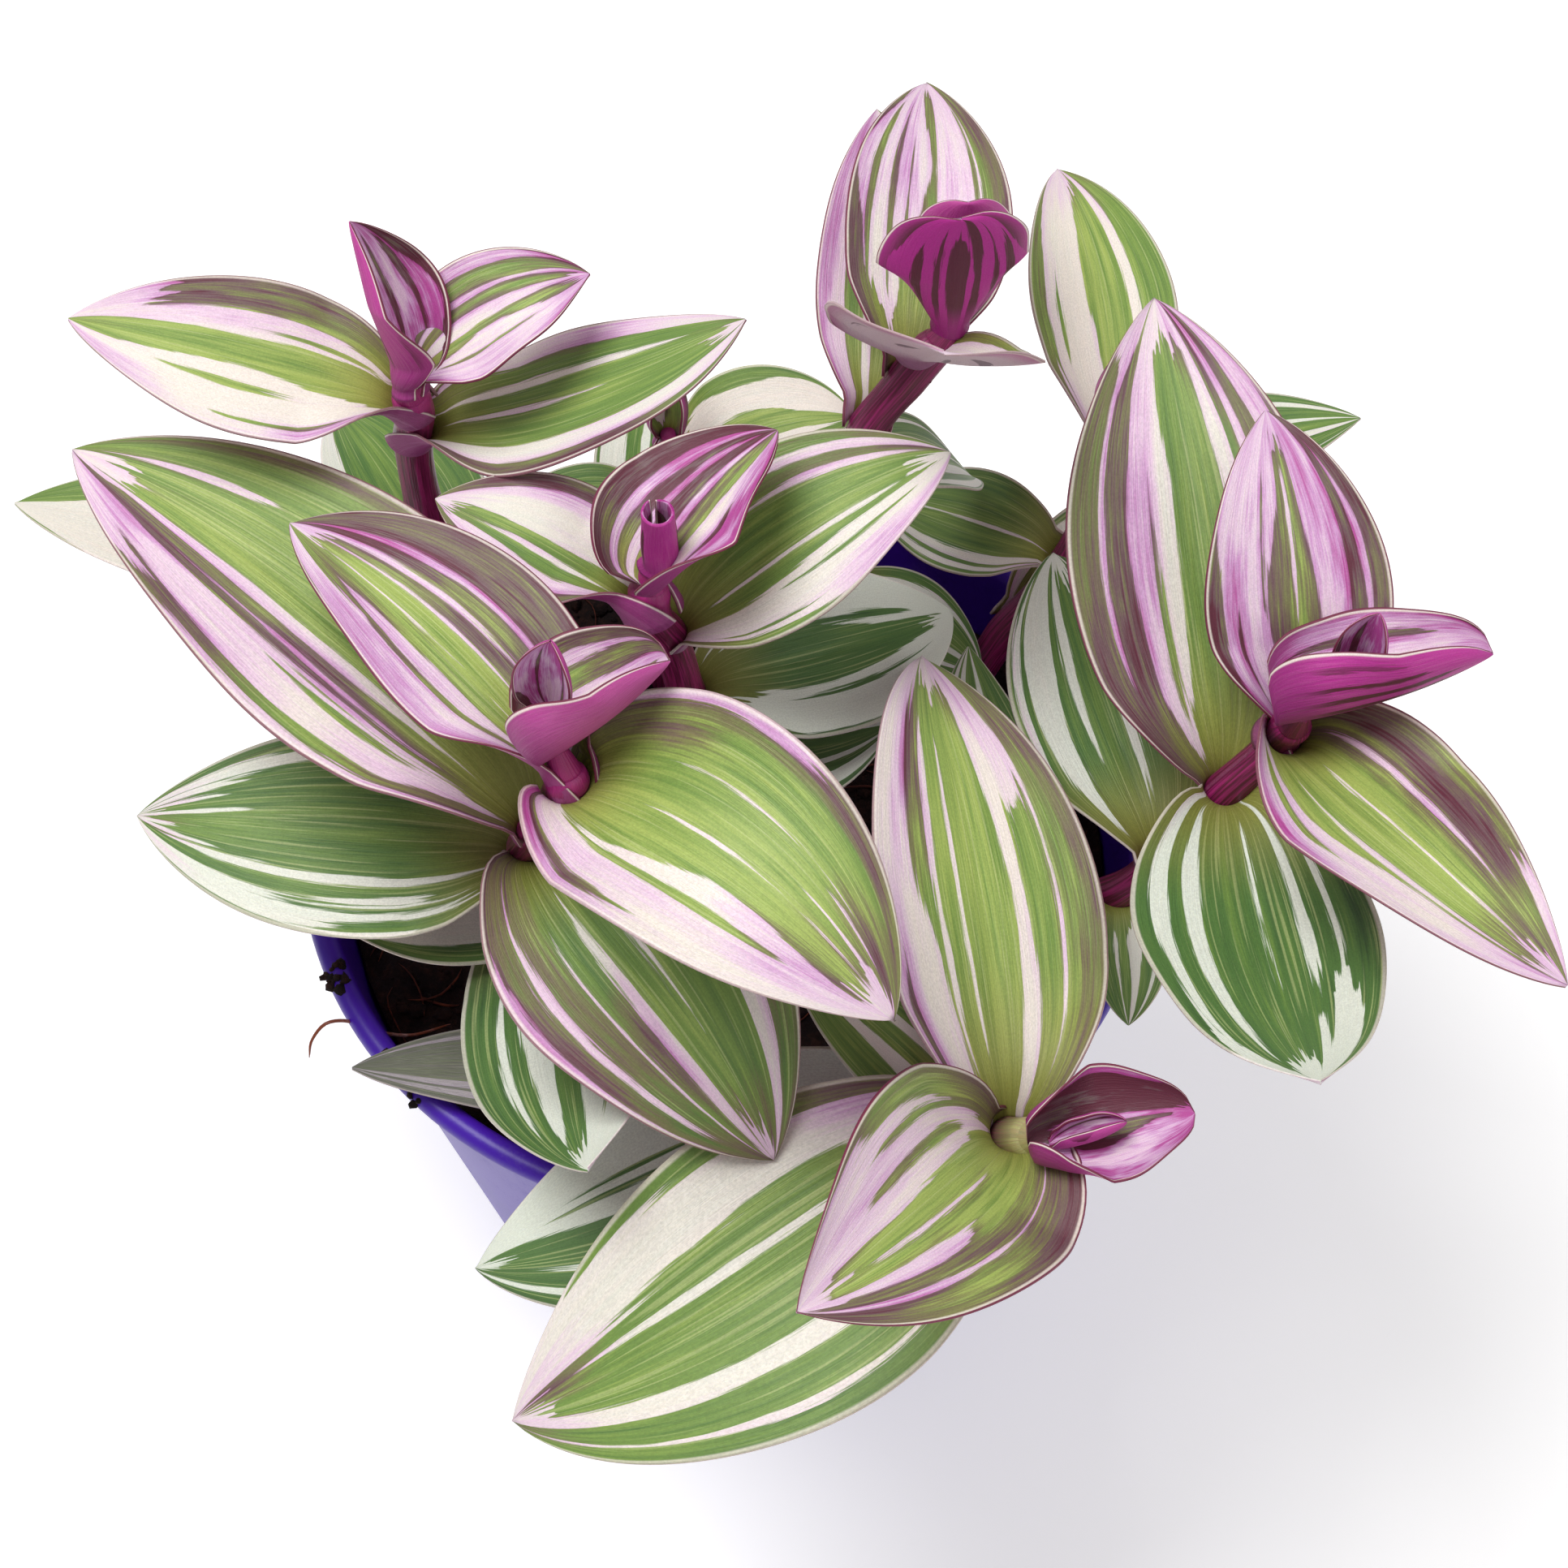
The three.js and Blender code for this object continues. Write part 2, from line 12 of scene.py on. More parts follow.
import bmesh
import bpy
import numpy as np
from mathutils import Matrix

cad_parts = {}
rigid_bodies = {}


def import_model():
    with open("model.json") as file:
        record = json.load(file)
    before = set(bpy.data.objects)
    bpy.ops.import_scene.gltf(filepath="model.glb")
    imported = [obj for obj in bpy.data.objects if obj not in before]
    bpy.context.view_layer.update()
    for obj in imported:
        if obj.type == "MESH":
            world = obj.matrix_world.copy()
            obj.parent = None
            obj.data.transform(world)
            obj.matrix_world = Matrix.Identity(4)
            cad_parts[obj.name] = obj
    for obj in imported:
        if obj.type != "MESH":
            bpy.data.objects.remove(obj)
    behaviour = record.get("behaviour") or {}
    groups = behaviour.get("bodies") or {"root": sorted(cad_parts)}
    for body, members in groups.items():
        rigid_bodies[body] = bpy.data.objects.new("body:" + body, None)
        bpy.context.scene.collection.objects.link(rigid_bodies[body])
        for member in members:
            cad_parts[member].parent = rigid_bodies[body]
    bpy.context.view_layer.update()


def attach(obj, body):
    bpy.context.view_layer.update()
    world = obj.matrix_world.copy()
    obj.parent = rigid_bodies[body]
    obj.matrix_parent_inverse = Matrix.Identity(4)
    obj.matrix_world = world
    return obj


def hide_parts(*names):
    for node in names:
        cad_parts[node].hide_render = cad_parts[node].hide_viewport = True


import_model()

MM = 0.001
LETTERS = "abcdefgh"

# %% [markdown]
# ## The camera
# The plant was seen from in front and well above, at about 60 degrees, from rather close by.
# A camera could be aimed with a constraint, but a turn about X alone does it here, because the
# view runs straight along +Y. The lens follows from how large the 12 cm rim stands in the frame.

# %% Camera
VIEW_ELEVATION = 60.0
VIEW_DISTANCE = 0.450
AIM = np.array([8.0, 6.4, 106.0]) * MM
FRAME_PIXELS = 1932
FOCAL_PIXELS = 3905
SENSOR = 36.0


def placed(name, data):
    """An object of this mesh, light or camera, standing in the scene."""
    thing = bpy.data.objects.new(name, data)
    bpy.context.scene.collection.objects.link(thing)
    return thing


def make_camera():
    """Sets up the view that the plant was seen from."""
    data = bpy.data.cameras.new("camera")
    data.sensor_width = SENSOR
    data.lens = FOCAL_PIXELS / FRAME_PIXELS * SENSOR
    camera = placed("camera", data)
    tilt = math.radians(VIEW_ELEVATION)
    back = np.array([0.0, -math.cos(tilt), math.sin(tilt)])
    camera.location = AIM + VIEW_DISTANCE * back
    camera.rotation_euler = (math.radians(90) - tilt, 0.0, 0.0)
    bpy.context.scene.camera = camera


make_camera()
bpy.context.scene.view_settings.view_transform = "Standard"
print("lens in mm:", round(bpy.context.scene.camera.data.lens, 1))

# %% [markdown]
# ## Sizes that the solids were made with
# The fine pieces repeat the same driving sizes, so each one lies in or close to the solid that it
# replaces: young leaves were fitted further here, by a few millimetres.
# They could be measured on the loaded solids, but typed and named they are easier to read.

# %% Sizes in millimetres
RIM_RADIUS = 60.0
POT_HEIGHT = 108.0
BASE_RADIUS = 42.0
WALL = 1.4
FLOOR = 2.0
BEAD_RADIUS = 1.8
BEAD_LEVEL = POT_HEIGHT - BEAD_RADIUS
BEAD_CENTRE = RIM_RADIUS - BEAD_RADIUS
DRAIN_HOLES = 6
DRAIN_RADIUS = 3.0
DRAIN_CIRCLE = 27.0
SOIL_BELOW_BEAD = 12.0
SOIL_LUMP = 1.1
LUMP_WAVE = 0.2
GAP = 0.3
STEM_RADIUS = 2.5
CORE_RADIUS = 1.4
BURIED = 26.0
THICKNESS = 0.8
WIDEST_AT = 0.414
FULL_NEAR_BASE = 0.6
POINTED_AT_TIP = 0.85
SHEATH = 0.2
SHEATH_RISE = 85.0
SHEATH_HOLD = 0.8
ROLLED_BY = 0.3
NEXT_LEAF_UP = 0.9
CLASP_BY = 0.22
print("rim in mm:", 2 * RIM_RADIUS, "stem in mm:", 2 * STEM_RADIUS, "leaf in mm:", THICKNESS)

# %% [markdown]
# ## The plan of the plant
# A tradescantia grows a leaf at every node, each one clasping the stem. The plant could be
# scattered by a rule, but this one is a portrait of a single plant, so each stem is a short
# path [x, y, height over the rim's bead] and each leaf one row, in the order
# node, heading, rise, length, width, bend, cup, roll, sway. Angles are in degrees.
# Heading runs anticlockwise from +X, and rise is the angle over the level. A leaf that wraps the
# stem in another way than a grown one ends its row in a form of its own. CUPPED is an upper leaf
# whose base still holds the stem like a cup. FOLDED is a young leaf that starts at the shoot's
# axis, full from its base on, with a short point and no tall sheath. CORNET is one that is still
# rolled like a paper cone, and BOAT is rolled from its very base, so that its near rim runs
# straight like a boat's. INNER is the next young leaf inside, and OPENING has begun to spread.
# "shift" moves a leaf's base in mm, and "blunt" is the half width that a leaf keeps to its end.

# %% Plan
LEAF_WORDS = ("node", "heading", "rise", "long", "wide", "bend", "cup", "roll", "sway")
CUPPED = {"clasp": 150.0, "wrap": 0.30, "ease": 1.4}
FOLDED = {"away": 0.0, "full": 0.2, "pointed": 0.55, "held": 0.1, "rolled_by": 0.06,
          "clasp": 90.0}
CORNET = FOLDED | {"clasp": 140.0, "wrap": 0.6, "ease": 1.0, "pointed": 0.45, "rolled_by": 0.2}
BOAT = CORNET | {"away": -3.5, "clasp": 130.0, "wrap": 0.7, "rolled_by": 0.02}
INNER = FOLDED | {"full": 0.6}
OPENING = {"away": CORE_RADIUS, "clasp": 110.0}
STEMS = {
    "a": {
        "path": [(-34, 22, -12), (-38, 27, 10), (-41, 30, 35), (-41, 30, 50), (-40, 29, 57),
                 (-40, 28, 63.5)],
        "leaves": [
            (1, 170, 10, 64, 26, 12, 18, 8, 0),
            (1, 118, -8, 46, 22, 20, 20, 0, 8),
            (3, 0, 28, 50, 22, -4, 15, -2, 16, CUPPED),
            (4, 174, 16, 44, 23, 10, 17, -8, -4, CUPPED),
        ],
        "shoot": [
            (5, 122, 68, 24, 20, 4, 70, 44, 0,
             CORNET | {"away": 1.6, "full": 0.45, "pointed": 0.8, "clasp": 170.0,
                       "shift": (0.3, -0.8, -1)}),
            (5, 21, 21, 26, 17, 18, 32, 10, -6, OPENING | {"clasp": 90.0, "shift": (0.8, 0.6, -1)}),
        ],
    },
    "b": {
        "path": [(-18, -12, -12), (-22, -15, 8), (-25, -17, 22), (-25, -22, 33), (-23, -25, 42),
                 (-19, -27, 55), (-18, -28, 61), (-18.5, -27.3, 62.6)],
        "leaves": [
            (1, -83, 24, 58, 30, -15, 13, 18, 2),
            (1, 200, 26, 36, 21, 6, 16, -10, -6),
            (2, 177, 3, 52, 29, 14, 18, -14, -11),
            (3, -52, -11, 54, 35, 29, 20, 5, -1),
            (4, 141, 6, 80, 36, 7, 21, 0, 9),
            (5, -41, 8, 58, 33, 46, 36, 9, -2, CUPPED),
            (6, 138, 9.5, 49, 25.5, 16, 22, 6, 11,
             CUPPED | {"clasp": 168.0, "shift": (0.9, 0.2, -3.8)}),
        ],
        "shoot": [
            (7, 20, 37, 21, 26, -10, 80, -34, 0, BOAT | {"shift": (1.4, 1.0, -1.4)}),
            (7, 70, 84, 13, 10.5, 4, 84, 0, 0, INNER | {"shift": (0.0, 3.2, 3.0)}),
        ],
    },
    "c": {
        "path": [(-2, 8, -12), (-3, 6, 10), (-5, 4, 28), (-7, 3, 44), (-9, 2, 51), (-9, 2.4, 55),
                 (-8.8, 2.7, 57.5)],
        "leaves": [
            (1, -5, 23, 27, 16, -7, 15, 16, 18),
            (2, 25, -12, 40, 24, 14, 18, 18, 14),
            (3, 24, 24, 43, 25, 22, 20, 7, 0),
            (4, 156, 13, 29, 19, 18, 20, -6, 4,
             {"away": 3.2, "clasp": 172.0, "wrap": 0.36, "ease": 1.0, "full": 0.5}),
            (5, 44, 24, 26, 22, 16, 30, -12, -9,
             BOAT | {"away": -4, "full": 0.3, "wrap": 0.45, "held": 0.3, "pointed": 0.8,
                     "shift": (1.9, 2.4, 3)}),
        ],
        "shoot": [
            (6, -70, 92, 11, 12, 4, 172, 0, 0,
             FOLDED | {"away": 2.0, "clasp": 174.0, "full": 0.03, "pointed": 0.07,
                       "blunt": 5.6, "shift": (1.3, 0.2, 0.5)}),
        ],
    },
    "d": {
        "path": [(12, 28, -12), (13, 30, 10), (17, 31, 38), (19, 31, 51), (24, 33, 59),
                 (26, 33.9, 62), (28.6, 35, 65.5)],
        "leaves": [
            (1, -16, -24, 25, 15, 22, 20, 0, -9),
            (2, 36, -44, 27, 17, 20, 22, 0, 0),
            (3, 88, 16, 44, 18, 12, 22, 5, 7),
            (4, 86, 4, 46, 23, 18, 24, 10, 6),
            (5, -86, 54, 33, 29, 2, 24, -17, 0, {"shift": (-0.6, 0.4, 1)}),
        ],
        "shoot": [
            (6, -86, 87, 25, 20.5, -3, 44, 0, 0,
             CORNET | {"away": 1.6, "full": 0.5, "clasp": 170.0, "wrap": 0.5,
                       "shift": (-0.6, 0, -1)}),
            (6, -88, 97, 20.5, 15, 2, 60, 0, 0, INNER | {"shift": (0.4, 0, -0.6)}),
        ],
    },
    "e": {
        "path": [(36, -6, -12), (46, -12, 0), (53, -16, 9), (58, -16, 17), (65, -14, 33),
                 (71, -12, 42), (71, -12.2, 44.2), (71.6, -15, 52.5)],
        "leaves": [
            (1, 112, 28, 36, 15, 4, 20, 0, -20),
            (2, -87, -18, 17, 11, 14, 20, 0, -6),
            (3, 104, 0, 49, 26, 10, 20, 0, -5),
            (4, 98, 23, 65, 35, 11, 20, -4, 0),
            (4, -85, 22, 58, 31, -24, 11, -3, 3),
            (5, -59, 20, 56, 27, 18, 26, -6, 11,
             CUPPED | {"clasp": 172.0, "wrap": 0.42, "full": 0.48}),
            (6, 98, 35, 42, 24, 18, 20, -4, 5,
             CUPPED | {"clasp": 165.0, "shift": (2.7, -0.6, -1.6)}),
        ],
        "shoot": [
            (7, 4, 27, 28, 27, -16, 88, -40, 0, BOAT | {"shift": (0.5, 0, -0.5)}),
            (7, 60, 80, 13, 10, 4, 90, 0, 0, INNER | {"shift": (6.2, 2.6, 3.2)}),
        ],
    },
    "f": {
        "path": [(16, -26, -12), (24, -40, 2), (29, -50, 11), (33, -56, 20), (36, -60, 27),
                 (38.8, -62.6, 33.2)],
        "leaves": [
            (2, -165, -14, 65, 33, 10, 19, -3, -10),
            (3, 139, 12, 31, 15, 11, 19, -2, 0),
            (3, -152, -18, 72, 40, 16, 20, -9, -16),
            (4, 98, 0, 70, 32, 18, 24, 20, 3),
            (4, -128, 33, 51, 31, 22, 35, -20, -12, CUPPED),
        ],
        "shoot": [
            (5, 8, 11, 20.5, 19, -9, 66, 6, 0,
             CORNET | {"away": -2.0, "clasp": 160.0, "wrap": 0.45, "shift": (-0.1, -1.4, 0.3)}),
            (5, 6, 28, 10, 7, 0, 140, 0, 0, INNER | {"shift": (0.2, -1.1, 0.2)}),
        ],
    },
    "g": {
        "path": [(34, 26, -12), (40, 30, 3), (48, 34, 14), (52, 38, 26), (53, 39, 33),
                 (53, 39, 39)],
        "leaves": [
            (1, 30, 4, 44, 22, 18, 20, 0, 6),
            (2, 146, -18, 31, 17, 22, 22, -15, -12),
            (3, 10, 12, 36, 17, 10, 20, -4, 0),
            (4, 96, -2, 51, 21, 14, 25, 3, 8),
        ],
        "shoot": [(5, 60, 80, 15, 13, 4, 130, 0, 0, OPENING)],
    },
    "h": {
        "path": [(-10, 32, -12), (-10, 38, 6), (-9, 41, 18), (-8, 42, 25), (-8, 42, 31)],
        "leaves": [
            (1, 92, -6, 34, 19, 30, 20, 0, 0),
            (2, 190, 2, 22, 13, 13, 20, 0, 8),
            (3, 4, 24, 28, 18, 32, 24, 10, -8),
        ],
        "shoot": [(4, 90, 72, 13, 12, 4, 130, 0, 0, OPENING)],
    },
}
FALLEN = (0, 187, 22, 44, 14, 10, 20, 0, -2, {"clasp": 40.0})
FALLEN_BASE = (-8, -36, -11.2)


def leaf_of(row):
    """A grown leaf's form with this row's own numbers and its fold over it."""
    grown = {"away": STEM_RADIUS, "full": FULL_NEAR_BASE, "pointed": POINTED_AT_TIP,
             "held": SHEATH_HOLD, "rolled_by": ROLLED_BY, "clasp": 100.0, "wrap": CLASP_BY,
             "ease": 1.5, "blunt": 0.0, "shift": (0, 0, 0)}
    fold = row[len(LEAF_WORDS)] if len(row) > len(LEAF_WORDS) else {}
    return grown | dict(zip(LEAF_WORDS, row)) | fold


print("leaves:", sum(len(stem["leaves"]) + len(stem["shoot"]) for stem in STEMS.values()) + 1)

# %% [markdown]
# ## The marks on each leaf
# The stripes are cells without green, laid down in long files that follow the veins. They could
# be left to noise alone, but then no leaf looks like its own portrait. So each leaf that shows
# has a few strokes, each [place across, half width, from, to]: the place runs from -1 at the
# right margin to 1 at the left one, the last two run from 0 at the base to 1 at the tip, and a
# minus before the half width paints green back over pale.
# The tone of a leaf is its blush, which is how much purple sap colour it holds, and its depth,
# which is how deep its green is. Low, shaded leaves are deep and hardly blush, young ones the
# other way round. Leaves with no strokes of their own draw some from a seeded source.
# A sap zone is a soft patch where the purple sap gathers: the same four numbers, then how strong.

# %% Marks
TIP = (0.0, 0.55, 0.88, 1.1)
MARKS = {
    "a0": [(0.3, 0.8, 0.0, 1.1)],
    "a2": [(0.90, 0.14, 0.1, 1.1), (0.45, 0.05, 0.05, 0.85), (0.1, 0.03, 0.1, 0.6),
           (-0.65, 0.2, 0.03, 1.1), (-0.5, -0.03, 0.4, 0.8), TIP],
    "a3": [(-0.45, 0.13, 0.02, 1.1), (0.65, 0.42, 0.03, 1.1), (0.35, -0.03, 0.3, 0.75),
           (0.8, -0.03, 0.1, 0.5), (-0.8, 0.25, 0.72, 1.1), (-0.4, -0.03, 0.1, 0.5)],
    "b0": [(-0.3, 0.13, 0.15, 0.9), (0.55, 0.4, 0.3, 1.1), (0.35, -0.05, 0.3, 0.8),
           (-0.65, 0.04, 0.3, 0.8), TIP],
    "b1": [(0.3, 0.5, 0.0, 1.1), (-0.1, -0.05, 0.2, 0.8)],
    "b2": [(-0.75, 0.06, 0.3, 1.0), (0.45, 0.05, 0.1, 0.9), (0.8, 0.22, 0.15, 1.1),
           (0.7, -0.03, 0.05, 0.7), (0.9, -0.04, 0.1, 0.5), (-0.2, 0.04, 0.72, 1.0),
           (-0.45, 0.05, 0.8, 1.0), (0.15, 0.04, 0.84, 1.1), (0.3, 0.05, 0.8, 1.1),
           (-0.6, 0.08, 0.7, 1.1), (0.0, 0.9, 0.92, 1.1)],
    "b3": [(-0.7, 0.03, 0.1, 0.9), (-0.2, 0.06, 0.25, 1.1), (-0.45, 0.02, 0.3, 0.95),
           (0.6, 0.08, 0.5, 1.1), (0.1, 0.02, 0.2, 0.7), (-0.95, 0.04, 0.3, 0.9), TIP],
    "b4": [(0.25, 0.04, 0.12, 0.9), (0.6, 0.18, 0.05, 1.1), (0.55, -0.03, 0.12, 0.5),
           (0.45, -0.05, 0.0, 0.88), (0.95, 0.05, 0.0, 0.7), (-0.5, 0.04, 0.62, 0.9),
           (0.9, 0.3, 0.75, 1.1), TIP],
    "b5": [(-0.7, 0.38, 0.0, 1.1), (-0.85, -0.05, 0.0, 0.45), (-0.5, -0.04, 0.1, 0.75),
           (0.05, 0.015, 0.3, 0.95), (0.45, 0.015, 0.3, 0.85), (0.2, 0.03, 0.75, 0.98),
           (0.35, 0.035, 0.7, 0.95), (0.95, 0.05, 0.0, 0.6), (-0.3, 0.4, 0.92, 1.1), TIP],
    "b6": [(-0.5, 0.035, 0.05, 0.95), (-0.25, 0.04, 0.1, 1.0), (0.5, 0.05, 0.03, 0.75),
           (0.8, 0.22, 0.0, 1.1), (0.6, -0.035, 0.1, 0.6), (-0.05, 0.015, 0.3, 0.9),
           (0.2, 0.015, 0.2, 0.8), TIP],
    "c1": [(0.65, 0.35, 0.1, 1.1), (-0.65, 0.4, 0.1, 1.1), (0.35, -0.06, 0.2, 0.85),
           (0.7, -0.04, 0.1, 0.7), (-0.5, -0.04, 0.3, 0.8), TIP],
    "c2": [(0.75, 0.07, 0.3, 1.1), (0.5, 0.05, 0.3, 0.95), (-0.65, 0.28, 0.0, 1.1),
           (-0.5, -0.03, 0.4, 0.85), (-0.8, -0.03, 0.2, 0.5), (-0.15, 0.03, 0.2, 0.8), TIP],
    "c3": [(-0.4, 0.28, 0.0, 1.1), (0.55, 0.15, 0.0, 0.95), (0.2, 0.03, 0.1, 0.8), TIP],
    "c4": [(0.6, 0.07, 0.0, 1.0), (0.3, 0.06, 0.0, 0.95), (0.05, 0.04, 0.1, 1.0),
           (-0.65, 0.3, 0.0, 1.1), (-0.55, -0.04, 0.1, 0.6)],
    "d2": [(0.75, 0.28, 0.0, 1.1), (0.5, -0.08, 0.1, 0.9), (0.2, 0.1, 0.0, 0.9), TIP],
    "d3": [(0.5, 0.38, 0.12, 1.1), (0.7, -0.035, 0.2, 0.9), (0.45, -0.03, 0.2, 0.95),
           (-0.4, 0.22, 0.1, 1.1), (-0.6, -0.03, 0.3, 0.9), (0.25, -0.03, 0.1, 0.7),
           (0.3, 0.7, 0.9, 1.1)],
    "d4": [(0.0, 1.0, 0.0, 1.1), (-0.3, -0.05, 0.5, 0.85), (0.5, -0.06, 0.35, 0.8),
           (-0.7, -0.05, 0.4, 0.7), (0.15, -0.03, 0.3, 0.6)],
    "e2": [(0.6, 0.16, 0.08, 1.1), (0.25, 0.06, 0.3, 0.97), (-0.2, 0.04, 0.1, 0.9),
           (0.9, 0.04, 0.2, 0.9), TIP],
    "e3": [(0.35, 0.18, 0.05, 1.1), (0.3, -0.03, 0.1, 0.6), (0.7, 0.025, 0.1, 0.95),
           (0.55, -0.06, 0.0, 0.86), (-0.35, 0.05, 0.25, 1.1), (-0.55, 0.05, 0.5, 1.1),
           (-0.85, 0.14, 0.6, 1.1), (0.75, 0.2, 0.8, 1.1), TIP],
    "e4": [(-0.75, 0.06, 0.0, 0.85), (-0.5, 0.07, 0.05, 0.9), (0.4, 0.04, 0.0, 0.62),
           (0.62, 0.035, 0.1, 0.6), (0.6, 0.36, 0.58, 1.2), (0.88, -0.08, 0.3, 0.85),
           (0.5, -0.05, 0.5, 0.8), (0.1, 0.02, 0.1, 0.6), (-0.85, 0.2, 0.75, 1.1),
           (0.1, 0.7, 0.86, 1.2)],
    "e5": [(-0.8, 0.3, 0.0, 1.1), (-0.7, -0.04, 0.1, 0.5), (0.1, 0.02, 0.2, 0.9),
           (0.5, 0.03, 0.1, 0.8), (-0.35, 0.02, 0.3, 0.9), (0.9, 0.1, 0.7, 1.1), TIP],
    "e6": [(0.55, 0.34, 0.0, 1.1), (0.35, -0.03, 0.4, 0.8), (0.65, -0.03, 0.1, 0.45),
           (-0.4, 0.2, 0.0, 1.1), (-0.65, -0.07, 0.15, 0.85), (-0.75, 0.03, 0.1, 0.9),
           (0.0, 0.02, 0.4, 0.85), TIP],
    "f0": [(-0.6, 0.38, 0.0, 1.1), (-0.35, -0.04, 0.3, 0.85), (-0.5, -0.03, 0.5, 0.8),
           (0.35, 0.04, 0.3, 0.9), (0.7, 0.07, 0.2, 1.0), (0.0, 0.8, 0.95, 1.1)],
    "f2": [(-0.62, 0.24, 0.0, 1.1), (-0.5, -0.04, 0.15, 0.5), (-0.4, -0.04, 0.45, 0.8),
           (-0.2, 0.02, 0.1, 0.85), (0.45, 0.09, 0.1, 1.1), (0.8, 0.02, 0.2, 0.95),
           (-0.8, 0.4, 0.75, 1.1), (0.0, 0.9, 0.94, 1.1)],
    "f3": [(0.85, 0.3, 0.0, 1.1), (0.6, -0.035, 0.45, 0.9), (0.9, -0.04, 0.0, 0.3),
           (0.4, 0.035, 0.05, 0.8), (0.2, 0.02, 0.1, 0.7), (-0.3, 0.08, 0.0, 1.1),
           (-0.45, 0.14, 0.6, 1.1), (-0.65, 0.02, 0.1, 0.9), TIP],
    "f4": [(-0.5, 0.26, 0.05, 1.2), (-0.62, -0.05, 0.0, 0.55), (-0.4, -0.05, 0.15, 0.72),
           (-0.85, 0.12, 0.6, 1.2),
           (0.3, 0.07, 0.45, 1.1), (0.6, 0.03, 0.1, 1.0), (0.1, 0.015, 0.2, 0.8), TIP],
    "g1": [(0.6, 0.1, 0.0, 0.9), (0.85, 0.06, 0.0, 0.9), (-0.1, 0.02, 0.1, 0.9)],
    "g3": [(0.5, 0.4, 0.0, 1.1), (0.6, -0.035, 0.2, 0.55), (-0.45, 0.07, 0.1, 1.1),
           (0.8, -0.03, 0.1, 0.5), TIP],
    "h2": [(0.5, 0.3, 0.1, 1.0), (-0.4, 0.1, 0.0, 0.9)],
    "as0": [(0.45, 0.5, 0.0, 1.1), (-0.4, 0.4, 0.0, 1.1), (0.4, -0.03, 0.2, 0.8),
            (-0.6, -0.05, 0.1, 0.9), (-0.25, -0.04, 0.2, 0.95)],
    "as1": [(0.45, 0.05, 0.0, 1.0), (0.1, 0.1, 0.0, 1.1), (-0.65, 0.38, 0.0, 1.1),
            (0.9, 0.08, 0.0, 0.9), (-0.5, -0.03, 0.2, 0.7), TIP],
    "bs0": [(-0.6, 0.45, 0.0, 1.1), (-0.25, -0.04, 0.1, 0.9), (0.35, 0.1, 0.0, 1.0),
            (0.75, 0.05, 0.2, 0.9), TIP],
    "cs0": [(0.0, 1.0, 0.0, 1.1), (-0.5, -0.06, 0.0, 0.8), (0.5, -0.1, 0.0, 0.9)],
    "bs1": [(0.0, 1.0, 0.0, 1.1), (0.3, -0.04, 0.1, 0.9), (-0.4, -0.04, 0.1, 0.9)],
    "es1": [(0.0, 1.0, 0.0, 1.1), (0.3, -0.08, 0.0, 0.9)],
    "fs1": [(0.0, 1.0, 0.0, 1.1), (0.5, -0.06, 0.0, 0.9)],
    "ds0": [(0.0, 1.0, 0.0, 1.1), (0.0, -0.10, 0.0, 0.9), (0.24, -0.07, 0.0, 1.2),
            (-0.25, -0.04, 0.1, 0.9), (-0.48, -0.05, 0.0, 0.8), (0.48, -0.03, 0.2, 0.95),
            (0.68, -0.05, 0.0, 0.9), (-0.93, -0.06, 0.3, 1.2)],
    "ds1": [(0.0, 1.0, 0.0, 1.1)],
    "es0": [(0.55, 0.42, 0.0, 1.1), (0.7, -0.04, 0.1, 0.8), (0.4, -0.03, 0.3, 0.8),
            (-0.6, 0.5, 0.0, 1.1), (-0.28, -0.05, 0.0, 0.9), (-0.48, -0.04, 0.05, 0.85),
            (-0.66, -0.03, 0.0, 0.8), (-0.84, -0.03, 0.1, 0.75), TIP],
    "fs0": [(-0.55, 0.5, 0.0, 1.1), (0.2, 0.05, 0.1, 1.0), (0.93, 0.06, 0.0, 0.9), TIP],
}
TONES = {
    "a0": (0.15, 0.3), "a2": (0.40, 0.35), "a3": (0.35, 0.1), "b0": (0.10, 0.85),
    "b1": (0.12, 0.5), "b2": (0.10, 0.65), "b3": (0.38, 0.45), "b4": (0.40, 0.2),
    "b5": (0.28, 0.1), "b6": (0.50, 0.05), "c0": (0.10, 0.9), "c1": (0.08, 1.0),
    "c2": (0.25, 0.3), "c3": (0.42, 0.35), "c4": (0.78, 0.1), "d2": (0.45, 0.3),
    "d3": (0.52, 0.25), "d4": (0.30, 0.2), "e2": (0.10, 0.8), "e3": (0.45, 0.35),
    "e4": (0.12, 0.9), "e5": (0.42, 0.0), "e6": (0.62, 0.2), "f0": (0.04, 1.0),
    "f1": (0.15, 0.3), "f2": (0.20, 0.3), "f3": (0.34, 0.1), "f4": (0.55, 0.0),
    "g1": (0.25, 0.5), "g3": (0.30, 0.1), "h2": (0.06, 0.2),
    "as0": (0.9, 0.3), "bs0": (0.72, 0.1), "bs1": (0.9, 0.2), "cs0": (1.0, 0.5),
    "ds0": (1.0, 1.0), "ds1": (1.0, 0.2), "es0": (1.0, 0.5), "es1": (1.0, 0.2),
    "fs0": (1.0, 0.3), "fs1": (1.0, 0.2),
}
